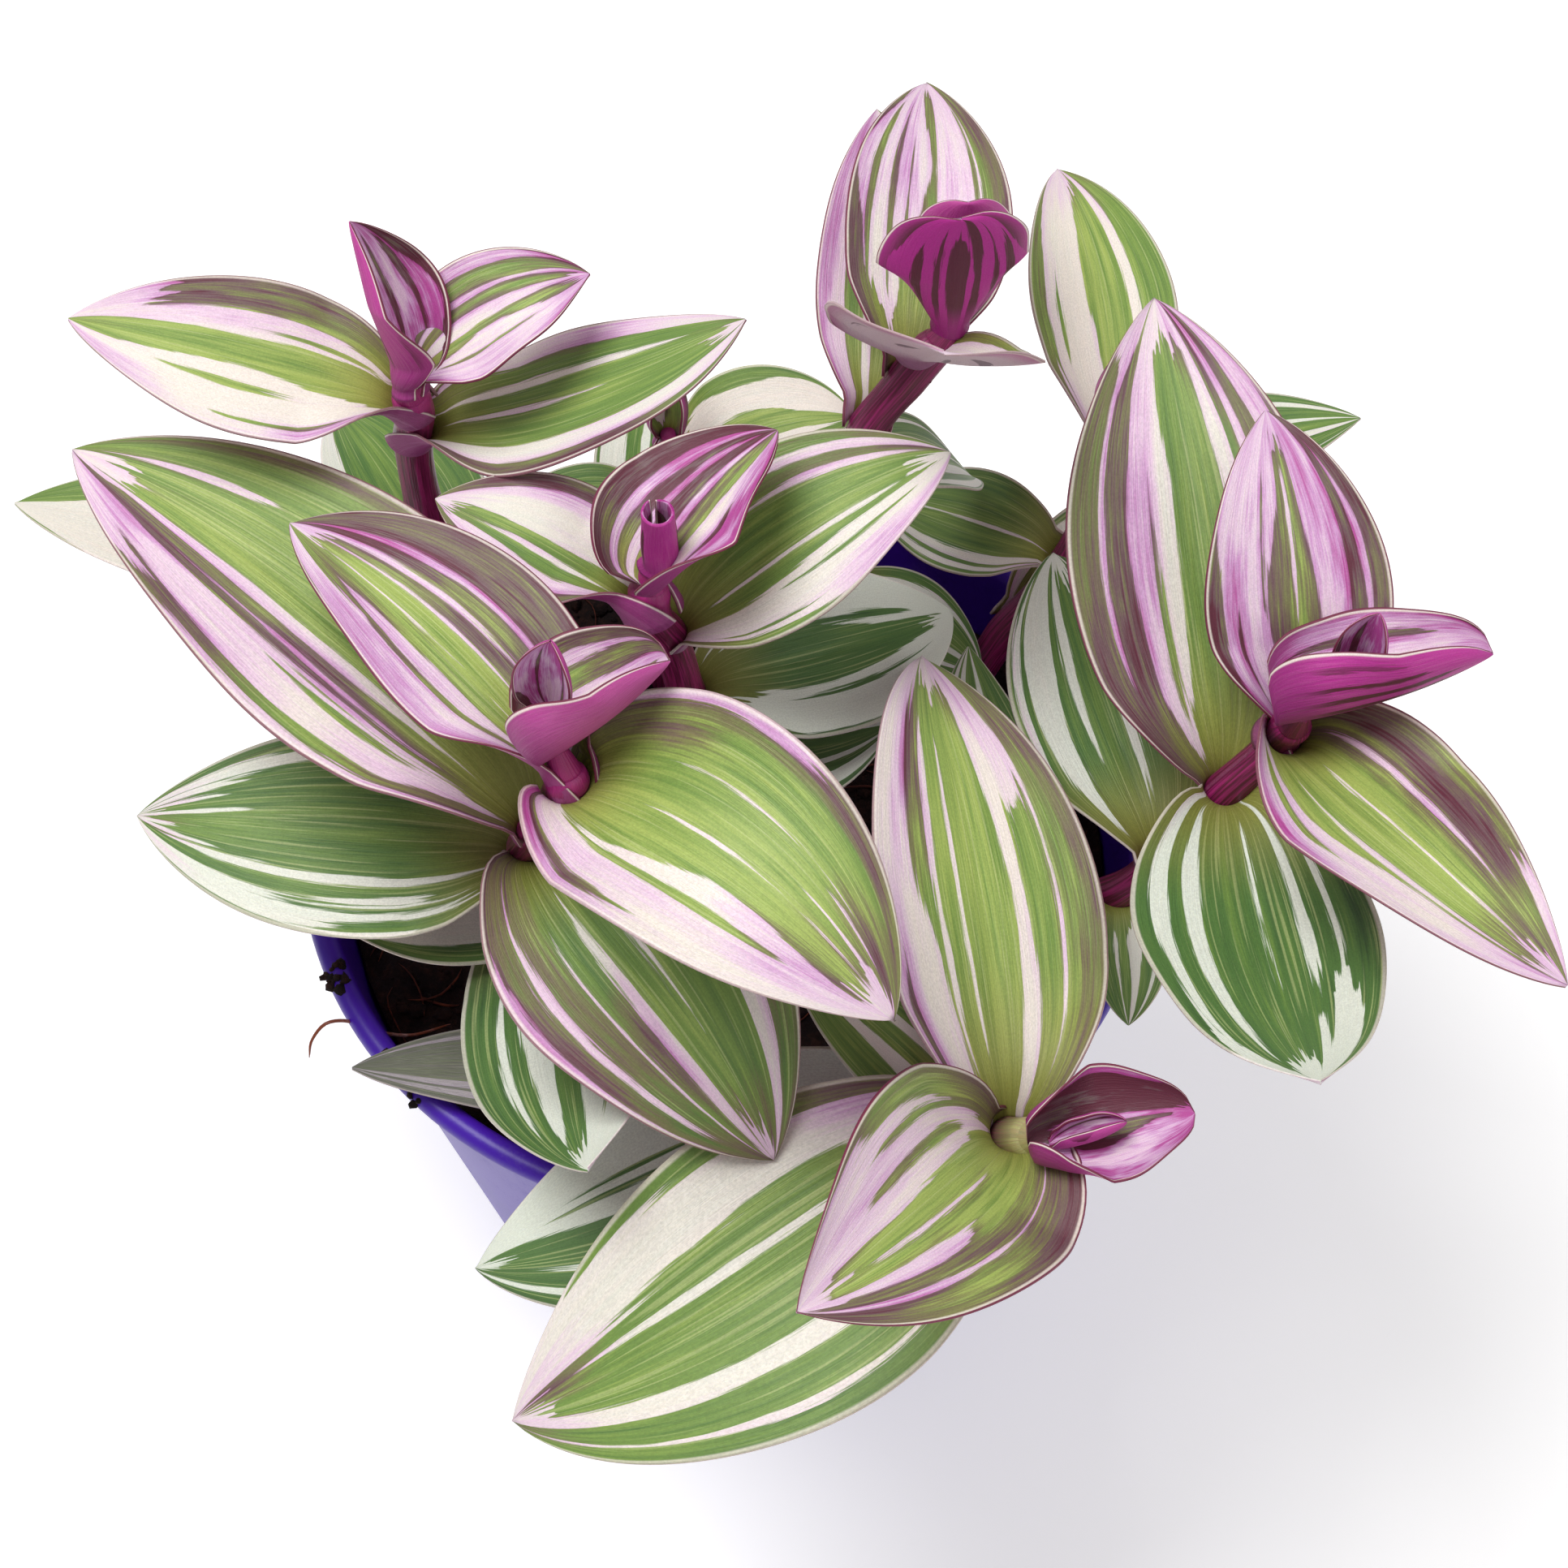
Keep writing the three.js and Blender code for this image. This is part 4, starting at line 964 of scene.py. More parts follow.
def make_veins():
    """Noise drawn out along the leaf, in four forms."""
    tree, given, made = new_group(
        "long veins",
        [("Along", NUMBER, 0.0), ("Across", NUMBER, 0.0), ("Seed", NUMBER, 0.0),
         ("Count", NUMBER, 30.0), ("Stretch", NUMBER, 3.0)],
        [("Broad", NUMBER), ("Fine", NUMBER), ("Line", NUMBER), ("Height", NUMBER)])
    along = calc(tree, "MULTIPLY", given["Along"], given["Stretch"])
    across = calc(tree, "MULTIPLY", given["Across"], given["Count"])
    wide = calc(tree, "MULTIPLY", across, BROAD_ACROSS)
    broad = noise(tree, vector(tree, along, wide, given["Seed"]), 1.0, 2.0)
    quick = calc(tree, "MULTIPLY", along, FINE_ALONG)
    fine = noise(tree, vector(tree, quick, across, given["Seed"]), 1.0, 3.0, 0.7)
    other = calc(tree, "ADD", given["Seed"], OTHER_SEED)
    slow = calc(tree, "MULTIPLY", along, LINE_SLOW)
    spread = calc(tree, "MULTIPLY", across, LINE_SLOW)
    line = smooth(tree, noise(tree, vector(tree, slow, spread, other), 1.0, 1.0), *LINE_BAND)
    tree.links.new(broad, made["Broad"])
    tree.links.new(fine, made["Fine"])
    tree.links.new(line, made["Line"])
    tree.links.new(calc(tree, "MULTIPLY_ADD", broad, 0.5, fine), made["Height"])
    return tree


VEINS = make_veins()
print("nodes in the veins group:", len(VEINS.nodes))

# %% [markdown]
# ## The colours of a leaf
# Two pigments make nearly all of them: green in the cells and purple in the sap. They could be
# mixed by formula from the two, but tones typed as seen are easier to set right. The upper face
# comes first and then the magenta underside.

# %% Leaf colours
LIME = linear(160, 178, 92)
LIGHT_LINE = linear(188, 198, 134)
MID_GREEN = linear(112, 142, 64)
DEEP_GREEN = linear(76, 112, 52)
SHADED_GREEN = linear(44, 76, 38)
OLIVE = linear(150, 140, 62)
CREAM = linear(234, 224, 214)
MINT = linear(216, 222, 208)
PALE_LILAC = linear(224, 198, 216)
LILAC = linear(202, 152, 198)
MAGENTA = linear(176, 72, 148)
DUSK = linear(118, 110, 76)
GREY_PURPLE = linear(108, 80, 86)
MAROON = linear(92, 34, 52)
MARGIN_LINE = linear(112, 36, 66)
UNDER_PALE = linear(228, 212, 222)
UNDER_PINK = linear(190, 78, 154)
UNDER_MAGENTA = linear(178, 36, 142)
UNDER_GREEN = linear(150, 122, 142)
UNDER_MAROON = linear(86, 22, 46)
print("pale cells, linear:", [round(c, 2) for c in CREAM[:3]])

# %% [markdown]
# ## Where a leaf is pale and where its sap shows
# Green is either there or not. The strokes come in as a distance, above 0 inside pale cells and
# below 0 inside green ones. The veins push that edge a little and a steep step cuts it, which
# keeps it sharp. A blurred mask would look airbrushed. The purple sap is a soft wash over both
# kinds of cells, because it lies in the skin above them.

# %% Masks of a leaf
EDGE = (-0.009, 0.011)
NEAR_EDGE = 0.09
PUSH_BROAD = 0.10
PUSH_FINE = 0.11
SAP_PLAIN = 0.18
SAP_IN_CLOUDS = 0.40
SAP_AT_MARGIN = 0.65
SAP_AT_TIP = 0.40
SAP_AT_SEAM = 0.32
SAP_STREAKS = 1.5


def off_middle(tree, value, strength, onto):
    """Adds a noise to a value, counted from the noise's middle."""
    return calc(tree, "MULTIPLY_ADD", calc(tree, "SUBTRACT", value, 0.5), strength, onto)


def pale_mask(tree, given, veins):
    """1 inside pale cells and 0 inside green ones."""
    near = put(tree, "ShaderNodeClamp", {"Value": given["Field"], "Min": -NEAR_EDGE, "Max": NEAR_EDGE})
    pushed = off_middle(tree, veins["Broad"], PUSH_BROAD, near.outputs[0])
    pushed = off_middle(tree, veins["Fine"], PUSH_FINE, pushed)
    return smooth(tree, pushed, *EDGE)


def sap_wash(tree, given, veins, width, cloud):
    """How much purple sap shows: more at margins, tip, clasping base and stripes' edges."""
    margin = calc(tree, "POWER", width, 5.0)
    tip = smooth(tree, given["Station"], 0.66, 1.0)
    base = smooth(tree, given["Station"], 0.26, 0.02)
    base = calc(tree, "MULTIPLY", base, calc(tree, "POWER", width, 2.0))
    seam = smooth(tree, calc(tree, "ABSOLUTE", given["Field"]), 0.08, 0.0)
    wash = calc(tree, "MULTIPLY_ADD", cloud, SAP_IN_CLOUDS, SAP_PLAIN)
    wash = calc(tree, "MULTIPLY_ADD", margin, SAP_AT_MARGIN, wash)
    wash = calc(tree, "MULTIPLY_ADD", tip, SAP_AT_TIP, wash)
    wash = calc(tree, "MULTIPLY_ADD", seam, SAP_AT_SEAM, wash)
    wash = calc(tree, "MULTIPLY", wash, given["Blush"])
    share = calc(tree, "MULTIPLY_ADD", given["Blush"], 1.1, 0.10)
    wash = calc(tree, "MULTIPLY_ADD", base, share, wash)
    zone = calc(tree, "MULTIPLY", given["Sap"], calc(tree, "MULTIPLY_ADD", cloud, 0.6, 0.45))
    wash = calc(tree, "ADD", wash, zone)
    held = calc(tree, "MINIMUM", wash, 0.8)
    streak = calc(tree, "SUBTRACT", calc(tree, "MULTIPLY_ADD", veins["Broad"], 0.6,
                                         calc(tree, "MULTIPLY", veins["Fine"], 1.4)), 1.0)
    return calc(tree, "MULTIPLY_ADD", calc(tree, "MULTIPLY", held, streak), SAP_STREAKS, wash)


print("a stripe's edge is soft over this share of half a blade:", round(EDGE[1] - EDGE[0], 3))

# %% [markdown]
# ## Green cells, pale cells and the underside
# Young green is lime and old, shaded green is deep, so one tone runs through four greens. Pale
# cells lean to cream or mint. The underside holds its sap in a layer of its own, so it is magenta
# under pale and maroon under green. A ramp for each could do it, but blends take numbers
# from the leaf, such as its depth and blush.

# %% Cells of a leaf
GREEN_STEPS = ((-0.25, 0.40, 1.0, MID_GREEN), (0.25, 0.95, 1.0, DEEP_GREEN),
               (0.95, 1.6, 1.0, SHADED_GREEN))
PALE_STEPS = ((0.10, 0.48, 1.0, PALE_LILAC), (0.42, 1.0, 1.0, LILAC), (0.85, 1.6, 1.0, MAGENTA))
DARK_STEPS = ((0.22, 0.60, 0.85, DUSK), (0.50, 0.95, 1.0, GREY_PURPLE), (0.85, 1.35, 1.0, MAROON))
GREEN_FINE = 0.9
GREEN_BROAD = 1.3
LINE_SHARE = 0.4
OLIVE_SHARE = 0.6


def stepped(tree, value, colour, steps):
    """A colour that gives way to others as the value grows: each step is [from, to, share, colour]."""
    for low, high, share, after in steps:
        colour = blend(tree, smooth(tree, value, low, high, 0.0, share), colour, after)
    return colour


def green_cells(tree, given, veins):
    """The green of the upper face, lime to deep, with bright veins and an olive base."""
    outer = calc(tree, "MULTIPLY_ADD", calc(tree, "ABSOLUTE", given["Across"]), 0.35, -0.10)
    tone = off_middle(tree, veins["Fine"], GREEN_FINE, calc(tree, "ADD", given["Depth"], outer))
    tone = off_middle(tree, veins["Broad"], GREEN_BROAD, tone)
    green = stepped(tree, tone, LIME, GREEN_STEPS)
    green = blend(tree, calc(tree, "MULTIPLY", veins["Line"], LINE_SHARE), green, LIGHT_LINE)
    base = smooth(tree, given["Station"], 0.34, 0.02)
    return blend(tree, calc(tree, "MULTIPLY", base, OLIVE_SHARE), green, OLIVE)


def pale_cells(tree, given, veins):
    """The cream to mint of cells without green."""
    broad = calc(tree, "MULTIPLY", veins["Broad"], 0.5)
    mint = calc(tree, "MULTIPLY_ADD", given["Depth"], 0.7, broad)
    pale = blend(tree, smooth(tree, mint, 0.2, 0.9), CREAM, MINT)
    return shaded(tree, pale, calc(tree, "MULTIPLY_ADD", veins["Fine"], 0.16, 0.90))


def upper_face(tree, given, veins, sap, pale):
    """Pale cells turn lilac under sap, and green ones grey to maroon."""
    light = stepped(tree, sap, pale_cells(tree, given, veins), PALE_STEPS)
    dark = stepped(tree, sap, green_cells(tree, given, veins), DARK_STEPS)
    return blend(tree, pale, dark, light)


def lower_face(tree, given, veins, width, pale):
    """Grey-green on old leaves, magenta and maroon on blushing ones, darker at the foot."""
    rich = smooth(tree, given["Blush"], 0.1, 0.8)
    deep = calc(tree, "MULTIPLY_ADD", given["Depth"], 0.8, 0.25)
    strong = off_middle(tree, veins["Fine"], 1.6, deep)
    pink = blend(tree, smooth(tree, strong, 0.0, 1.0), UNDER_PINK, UNDER_MAGENTA)
    below = blend(tree, pale, blend(tree, rich, UNDER_GREEN, UNDER_MAROON),
                  blend(tree, rich, UNDER_PALE, pink))
    flush = calc(tree, "ADD", smooth(tree, given["Station"], 0.34, 0.08),
                 smooth(tree, width, 0.7, 1.0), clamp=True)
    flush = calc(tree, "MULTIPLY", flush, smooth(tree, given["Blush"], 0.05, 0.5, 0.25, 0.9))
    below = blend(tree, flush, below, pink)
    return shaded(tree, below, smooth(tree, given["Station"], 0.0, 0.4, 0.62, 1.0))


print("steps for green, pale and dark:", len(GREEN_STEPS), len(PALE_STEPS), len(DARK_STEPS))

# %% [markdown]
# ## The pigment group
# Fresh and dried leaves share one pigment effect, so it is a node group. It puts the two faces
# together, draws the pale rim and the thin dark line that the real margin has, and adds a fine
# grain, because no leaf's skin is one even tone.

# %% Pigment group
VEINS_ACROSS = 44.0
VEINS_STRETCH = 2.4
CLOUDS_ALONG = 2.2
CLOUDS_ACROSS = 3.4
CLOUD_SEED = 7.0
PALE_RIM = (0.952, 0.974)
DARK_MARGIN = (0.982, 0.995)
GRAIN_ALONG = 190.0
GRAIN_ACROSS = 60.0


def make_pigment():
    """The colour of both faces of a leaf, its pale mask and its veins' height."""
    tree, given, made = new_group(
        "leaf pigment",
        [("Station", NUMBER, 0.5), ("Across", NUMBER, 0.0), ("Seed", NUMBER, 0.0),
         ("Field", NUMBER, 0.0), ("Blush", NUMBER, 0.3), ("Depth", NUMBER, 0.3),
         ("Under", NUMBER, 0.0), ("Sap", NUMBER, 0.0)],
        [("Color", COLOUR), ("Pale", NUMBER), ("Height", NUMBER)])
    veins = group_in(tree, VEINS, {"Along": given["Station"], "Across": given["Across"],
                                   "Seed": given["Seed"], "Count": VEINS_ACROSS,
                                   "Stretch": VEINS_STRETCH})
    width = calc(tree, "ABSOLUTE", given["Across"])
    cloud = noise(tree, vector(tree, calc(tree, "MULTIPLY", given["Station"], CLOUDS_ALONG),
                               calc(tree, "MULTIPLY", given["Across"], CLOUDS_ACROSS),
                               calc(tree, "ADD", given["Seed"], CLOUD_SEED)), 1.0, 3.0, 0.6)
    cloud = smooth(tree, cloud, 0.38, 0.66)
    pale = pale_mask(tree, given, veins)
    sap = sap_wash(tree, given, veins, width, cloud)
    upper = upper_face(tree, given, veins, sap, pale)
    lower = lower_face(tree, given, veins, width, pale)
    colour = blend(tree, given["Under"], upper, lower)
    rim = calc(tree, "MULTIPLY", smooth(tree, width, *PALE_RIM),
               calc(tree, "MULTIPLY_ADD", given["Blush"], 0.4, 0.5))
    colour = blend(tree, rim, colour, CREAM)
    line = calc(tree, "MULTIPLY", smooth(tree, width, *DARK_MARGIN),
                smooth(tree, given["Blush"], 0.1, 0.5))
    colour = blend(tree, line, colour, MARGIN_LINE)
    grain = noise(tree, vector(tree, calc(tree, "MULTIPLY", given["Station"], GRAIN_ALONG),
                               calc(tree, "MULTIPLY", given["Across"], GRAIN_ACROSS),
                               given["Seed"]), 1.0, 2.0, 0.7)
    colour = shaded(tree, colour, smooth(tree, grain, 0.25, 0.75, 0.86, 1.08))
    tree.links.new(colour, made["Color"])
    tree.links.new(pale, made["Pale"])
    tree.links.new(veins["Height"], made["Height"])
    return tree


PIGMENT = make_pigment()
print("nodes in the pigment group:", len(PIGMENT.nodes))

# %% [markdown]
# ## The leaf material
# A leaf's skin is satin with a soft gloss that the long veins break up, and a little light
# passes into its flesh. Each leaf could have a material of its own, but the marks lie in the
# mesh's points, so one material dresses all the fresh ones.

# %% Leaf material
def new_material(name):
    """A fresh material with its node tree and its shader."""
    material = bpy.data.materials.new(name)
    material.use_nodes = True
    tree = material.node_tree
    return material, tree, tree.nodes["Principled BSDF"]


def split(tree, name):
    """The three numbers of a point's own vector."""
    node = put(tree, "ShaderNodeAttribute", attribute_name=name)
    parts = put(tree, "ShaderNodeSeparateXYZ", {0: node.outputs["Vector"]}).outputs
    return parts[0], parts[1], parts[2]


def bump(tree, height, strength, distance):
    """The normal of a skin with this relief, its depth in metres."""
    return put(tree, "ShaderNodeBump",
               {"Height": height, "Strength": strength, "Distance": distance}).outputs[0]


def pigment_from_points(tree):
    """The pigment group, fed with the values that leaf_tube left at the points."""
    station, across, seed = split(tree, "place")
    field, blush, depth = split(tree, "tone")
    under, sap, _ = split(tree, "skin")
    return group_in(tree, PIGMENT, {"Station": station, "Across": across, "Seed": seed,
                                    "Field": field, "Blush": blush, "Depth": depth,
                                    "Under": under, "Sap": sap})


def make_leaf_material():
    """Satin, striped and slightly translucent."""
    material, tree, shader = new_material("striped leaf")
    leaf = pigment_from_points(tree)
    fill(tree, shader, {
        "Base Color": leaf["Color"],
        "Roughness": calc(tree, "MULTIPLY_ADD", leaf["Height"], 0.16, 0.40),
        "Normal": bump(tree, leaf["Height"], 0.35, 0.0004),
        "Subsurface Weight": 0.12,
        "Subsurface Radius": (0.6, 0.5, 0.3),
        "Subsurface Scale": 0.002,
        "Specular IOR Level": 0.45,
    })
    return material


LEAF = make_leaf_material()
print("leaf material:", LEAF.name, "with", len(LEAF.node_tree.nodes), "nodes")

# %% [markdown]
# ## The stem material
# The stem's skin is dark purple with fine streaks along it and a few faint green patches. The
# streaks use noise on a circle round the rod, because on a flat strip it would show a seam where
# the strip closes. The youngest stretch takes its rosy or pale tone from its points.

# %% Stem material
STEM_DARK = linear(80, 14, 44)
STEM_PURPLE = linear(148, 32, 98)
STEM_ROSE = linear(170, 40, 122)
STEM_GREEN = linear(112, 96, 48)
STEM_YOUNG = linear(206, 204, 138)
STREAKS_ROUND = 9.0
STREAKS_ALONG = 0.10
PATCHES_ALONG = 0.08


def make_stem_material():
    """Dark purple with streaks, faint green patches and a fresh top."""
    material, tree, shader = new_material("purple stem")
    along, round_it, seed = split(tree, "place")
    turned = vector(tree, calc(tree, "COSINE", round_it), calc(tree, "SINE", round_it), 0.0)
    lines = put(tree, "ShaderNodeVectorMath", {0: turned, 3: STREAKS_ROUND},
                operation="SCALE").outputs[0]
    slow = vector(tree, seed, seed, calc(tree, "MULTIPLY", along, STREAKS_ALONG))
    where = put(tree, "ShaderNodeVectorMath", {0: lines, 1: slow}, operation="ADD").outputs[0]
    streak = noise(tree, where, 1.0, 3.0, 0.6)
    spots = vector(tree, calc(tree, "MULTIPLY", along, PATCHES_ALONG), round_it, seed)
    patch = noise(tree, spots, 1.0, 2.0)
    colour = blend(tree, smooth(tree, streak, 0.35, 0.7), STEM_DARK, STEM_PURPLE)
    colour = blend(tree, smooth(tree, patch, 0.6, 0.85, 0.0, 0.35), colour, STEM_GREEN)
    pale, rosy, _ = split(tree, "tone")
    patchy = smooth(tree, streak, 0.2, 0.6, 1.0, 0.7)
    colour = blend(tree, calc(tree, "MULTIPLY", rosy, patchy), colour, STEM_ROSE)
    colour = blend(tree, calc(tree, "MULTIPLY", pale, patchy), colour, STEM_YOUNG)
    fill(tree, shader, {
        "Base Color": colour,
        "Roughness": calc(tree, "MULTIPLY_ADD", streak, 0.2, 0.28),
        "Normal": bump(tree, streak, 0.5, 0.0003),
        "Subsurface Weight": 0.1,
        "Subsurface Scale": 0.002,
    })
    return material


STEM = make_stem_material()
print("stem material:", STEM.name, "with", len(STEM.node_tree.nodes), "nodes")

# %% [markdown]
# ## The material of the drying leaf
# A dropped leaf keeps its stripes for a while under a grey, papery wash that is strongest on the
# high veins. A new pattern could be drawn for it, but it was a leaf like the others, so the same
# pigment group goes under the wash.

# %% Drying leaf material
DRY_GREY = linear(150, 142, 142)
DRY_LILAC = linear(176, 160, 178)


def make_dried_material():
    """The striped leaf under its papery wash."""
    material, tree, shader = new_material("drying leaf")
    leaf = pigment_from_points(tree)
    dry = blend(tree, leaf["Pale"], DRY_GREY, DRY_LILAC)
    share = smooth(tree, leaf["Height"], 0.4, 1.1, 0.45, 0.8)
    fill(tree, shader, {
        "Base Color": blend(tree, share, leaf["Color"], dry),
        "Roughness": calc(tree, "MULTIPLY_ADD", leaf["Height"], 0.1, 0.6),
        "Normal": bump(tree, leaf["Height"], 0.8, 0.0006),
    })
    return material


DRIED = make_dried_material()
print("drying leaf material:", DRIED.name, "with", len(DRIED.node_tree.nodes), "nodes")

# %% [markdown]
# ## Leafy stems and young shoots
# Each stem and its leaves grew as one body, so they are one piece that replaces one solid.
# Its stem takes the purple skin and its leaves the striped one, by material slots. The young
# shoot on top is a piece of its own: a short core that ends the stem, and the furled leaves round
# it. Shoot and stem could be one mesh, but their colours differ and so do their solids.

# %% Build the plant
CORE_ROWS = 10
CORE_SUNK = 1.4
CORE_FOOT = 2.2
CORE_TOP = 1.0
CORE_REACH = 4.0
SHORT_CORES = {"f": 2.2}
CORE_SEED = 3.0
SHOOT_SEAT = 2
PLANT_SEED = 100


def give_materials(thing, materials, counts):
    """Slot 0 to the first faces, slot 1 to the rest, and so on."""
    for material in materials:
        thing.data.materials.append(material)
    slots = np.repeat(np.arange(len(counts)), counts)
    thing.data.polygons.foreach_set("material_index", slots.astype(np.int32))


def faces_in(tubes):
    """How many faces the tubes turn into: their quads and two ends each."""
    return sum((t["points"].shape[0] - 1) * t["points"].shape[1] + 2 for t in tubes)


def dress(thing, node):
    """Hides the solid that a piece replaces and makes the piece ride on the root."""
    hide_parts(node)
    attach(thing, "root")
    return thing


def build_leafy_stem(letter, stem, rng):
    """One stem and its grown leaves as one piece."""
    rods = [stem_tube(stem["path"], rng.uniform(0, 50), *TOPS.get(letter, ROSY_TOP))]
    blades = []
    for number, row in enumerate(stem["leaves"]):
        leaf = leaf_of(row)
        base = over_bead(stem["path"][leaf["node"]])
        blades.append(leaf_tube(leaf, base, f"{letter}{number}", rng))
    thing = mesh_from_tubes(f"stem_{letter}_with_leaves", rods + blades)
    give_materials(thing, [STEM, LEAF], [faces_in(rods), faces_in(blades)])
    return dress(thing, f"leafy_stem_{letter}")


def build_shoot(letter, stem, rng):
    """The young leaves on one stem's top and the core inside them."""
    top = over_bead(stem["path"][-1])
    below = over_bead(stem["path"][-2])
    way = (top - below) / np.linalg.norm(top - below)
    middle = top + way * (SHOOT_SEAT + GAP)
    blades = []
    for number, row in enumerate(stem["shoot"]):
        start = middle + way * NEXT_LEAF_UP * number
        blades.append(leaf_tube(leaf_of(row), start, f"{letter}s{number}", rng))
    reach = SHORT_CORES.get(letter, CORE_REACH)
    through = [top - way * CORE_SUNK, top + way * reach / 2, top + way * reach]
    line, length = smooth_path(through, CORE_ROWS)
    narrowing = np.linspace(CORE_FOOT, CORE_TOP, CORE_ROWS)
    core, angle = rings_along(line, narrowing, STEM_RING)
    rods = [plain_tube(core, length, angle, CORE_SEED, *TOPS.get(letter, ROSY_TOP))]
    thing = mesh_from_tubes(f"shoot_{letter}", rods + blades)
    give_materials(thing, [STEM, LEAF], [faces_in(rods), faces_in(blades)])
    return dress(thing, f"young_shoot_{letter}")


def build_plant():
    """All the stems and shoots, each stem with a seeded source of its own."""
    for order, letter in enumerate(LETTERS):
        rng = np.random.default_rng(PLANT_SEED + order)
        thing = build_leafy_stem(letter, STEMS[letter], rng)
        shoot = build_shoot(letter, STEMS[letter], rng)
        print(thing.name, len(thing.data.polygons), shoot.name, len(shoot.data.polygons))


build_plant()

# %% [markdown]
# ## The fallen leaf
# One leaf has dropped and dries on the soil, with its tip out over the rim. It could be a flat
# card, but it was a leaf of this plant, so it gets the same form as the others and its own colour.

# %% Fallen leaf
FALLEN_SEED = 31

fallen = mesh_from_tubes("dropped_leaf", [
    leaf_tube(leaf_of(FALLEN), over_bead(FALLEN_BASE), "fallen", np.random.default_rng(FALLEN_SEED))])
give_materials(fallen, [DRIED], [len(fallen.data.polygons)])
dress(fallen, "fallen_leaf")
print("fallen leaf faces:", len(fallen.data.polygons))

# %% [markdown]
# ## The pot's outline
# The pot is thin moulded plastic with a round bead for a rim. Its outline runs from the middle of
# the base up the outside, round the bead and down the inner wall. A cone with a ring on top would
# be quicker, but then neither the bead nor the thin wall would be true.

# %% Pot outline
POT_SIDES = 160
BEAD_STEPS = 22
BEAD_FROM = -120
BEAD_TO = 160
BASE_ROUND = 1.5
BASE_STEPS = 5
OUTER_STEPS = 10
INNER_STEPS = 12
FLOOR_RINGS = (0.5, 20.0, 34.0)


def wall_radius(height):
    """The inner wall's radius at a height."""
    top = BEAD_LEVEL - BEAD_RADIUS
    share = min(max((height - FLOOR) / (top - FLOOR), 0), 1)
    low = BASE_RADIUS - WALL
    return low + (BEAD_CENTRE - BEAD_RADIUS - GAP - low) * share


def pot_outline():
    """Radius and height from the middle of the base, round the wall, to the inner floor."""
    line = [(radius, 0.0) for radius in FLOOR_RINGS]
    for turn in np.radians(np.linspace(-90, 0, BASE_STEPS)):
        line.append((BASE_RADIUS - BASE_ROUND + BASE_ROUND * math.cos(turn),
                     BASE_ROUND + BASE_ROUND * math.sin(turn)))
    start = np.array(line[-1])
    angles = np.radians(np.linspace(BEAD_FROM, BEAD_TO, BEAD_STEPS))
    bead = [(BEAD_CENTRE + BEAD_RADIUS * math.cos(a), BEAD_LEVEL + BEAD_RADIUS * math.sin(a))
            for a in angles]
    for share in np.linspace(0, 1, OUTER_STEPS)[1:-1]:
        line.append(tuple(start + (np.array(bead[0]) - start) * share))
    line += bead
    for height in np.linspace(BEAD_LEVEL - BEAD_RADIUS, FLOOR, INNER_STEPS):
        line.append((wall_radius(height), height))
    line += [(radius, FLOOR) for radius in reversed(FLOOR_RINGS)]
    return np.array(line)


print("outline points:", len(pot_outline()), "inner radius at the top:", round(wall_radius(BEAD_LEVEL), 1))

# %% [markdown]
# ## The pot turned and drilled
# A screw modifier could turn the outline, but rings of points do the same and need no modifier.
# The six drain holes are cut by a boolean, because that is how the mould leaves them: plain and
# sharp.

# %% Pot mesh
CUTTER_SIDES = 32
CUTTER_CORE = 0.2
CUTTER_LOW = -3.0
CUTTER_HIGH = 6.0
SHARP_FROM = 35


def turned_mesh(name, line, sides):
    """A lathe: the outline turned round the Z axis, its two ends closed."""
    angle = np.linspace(0, 2 * math.pi, sides, endpoint=False)
    ring = np.stack([np.cos(angle), np.sin(angle)], -1)
    points = np.concatenate([
        line[:, None, :1] * ring[None], np.broadcast_to(line[:, None, 1:], (len(line), sides, 1)),
    ], -1)
    mesh = bpy.data.meshes.new(name)
    mesh.from_pydata((points.reshape(-1, 3) * MM).tolist(), [], closed_faces(len(line), sides))
    mesh.update()
    return placed(name, mesh)


def cut_holes(pot):
    """Cuts the drain holes with one rod each, which are removed again."""
    line = np.array([(CUTTER_CORE, CUTTER_LOW), (DRAIN_RADIUS, CUTTER_LOW),
                     (DRAIN_RADIUS, CUTTER_HIGH), (CUTTER_CORE, CUTTER_HIGH)])
    for number in range(DRAIN_HOLES):
        turn = 2 * math.pi * number / DRAIN_HOLES
        cutter = turned_mesh(f"cutter_{number}", line, CUTTER_SIDES)
        cutter.location = np.array([math.cos(turn), math.sin(turn), 0]) * DRAIN_CIRCLE * MM
        cut = pot.modifiers.new(f"drain_{number}", "BOOLEAN")
        cut.operation = "DIFFERENCE"
        cut.solver = "EXACT"
        cut.object = cutter
    bpy.context.view_layer.update()
    solid = pot.evaluated_get(bpy.context.evaluated_depsgraph_get())
    mesh = bpy.data.meshes.new_from_object(solid)
    pot.modifiers.clear()
    pot.data = mesh
    for number in range(DRAIN_HOLES):
        bpy.data.objects.remove(bpy.data.objects[f"cutter_{number}"])


def build_pot():
    """The pot with its holes, smooth but for its sharp edges."""
    pot = turned_mesh("plastic_pot", pot_outline(), POT_SIDES)
    cut_holes(pot)
    pot.data.shade_smooth()
    pot.data.set_sharp_from_angle(angle=math.radians(SHARP_FROM))
    return pot


pot = build_pot()
print("pot faces:", len(pot.data.polygons))

# %% [markdown]
# ## The pot's plastic
# The plastic is a deep violet blue with a soft gloss. It is a nursery pot, so it isn't clean:
# fine dust dulls it in patches and its skin has a slight grain from the mould. One plain colour
# would look like a toy, so the dust is noise measured in millimetres on the pot itself.

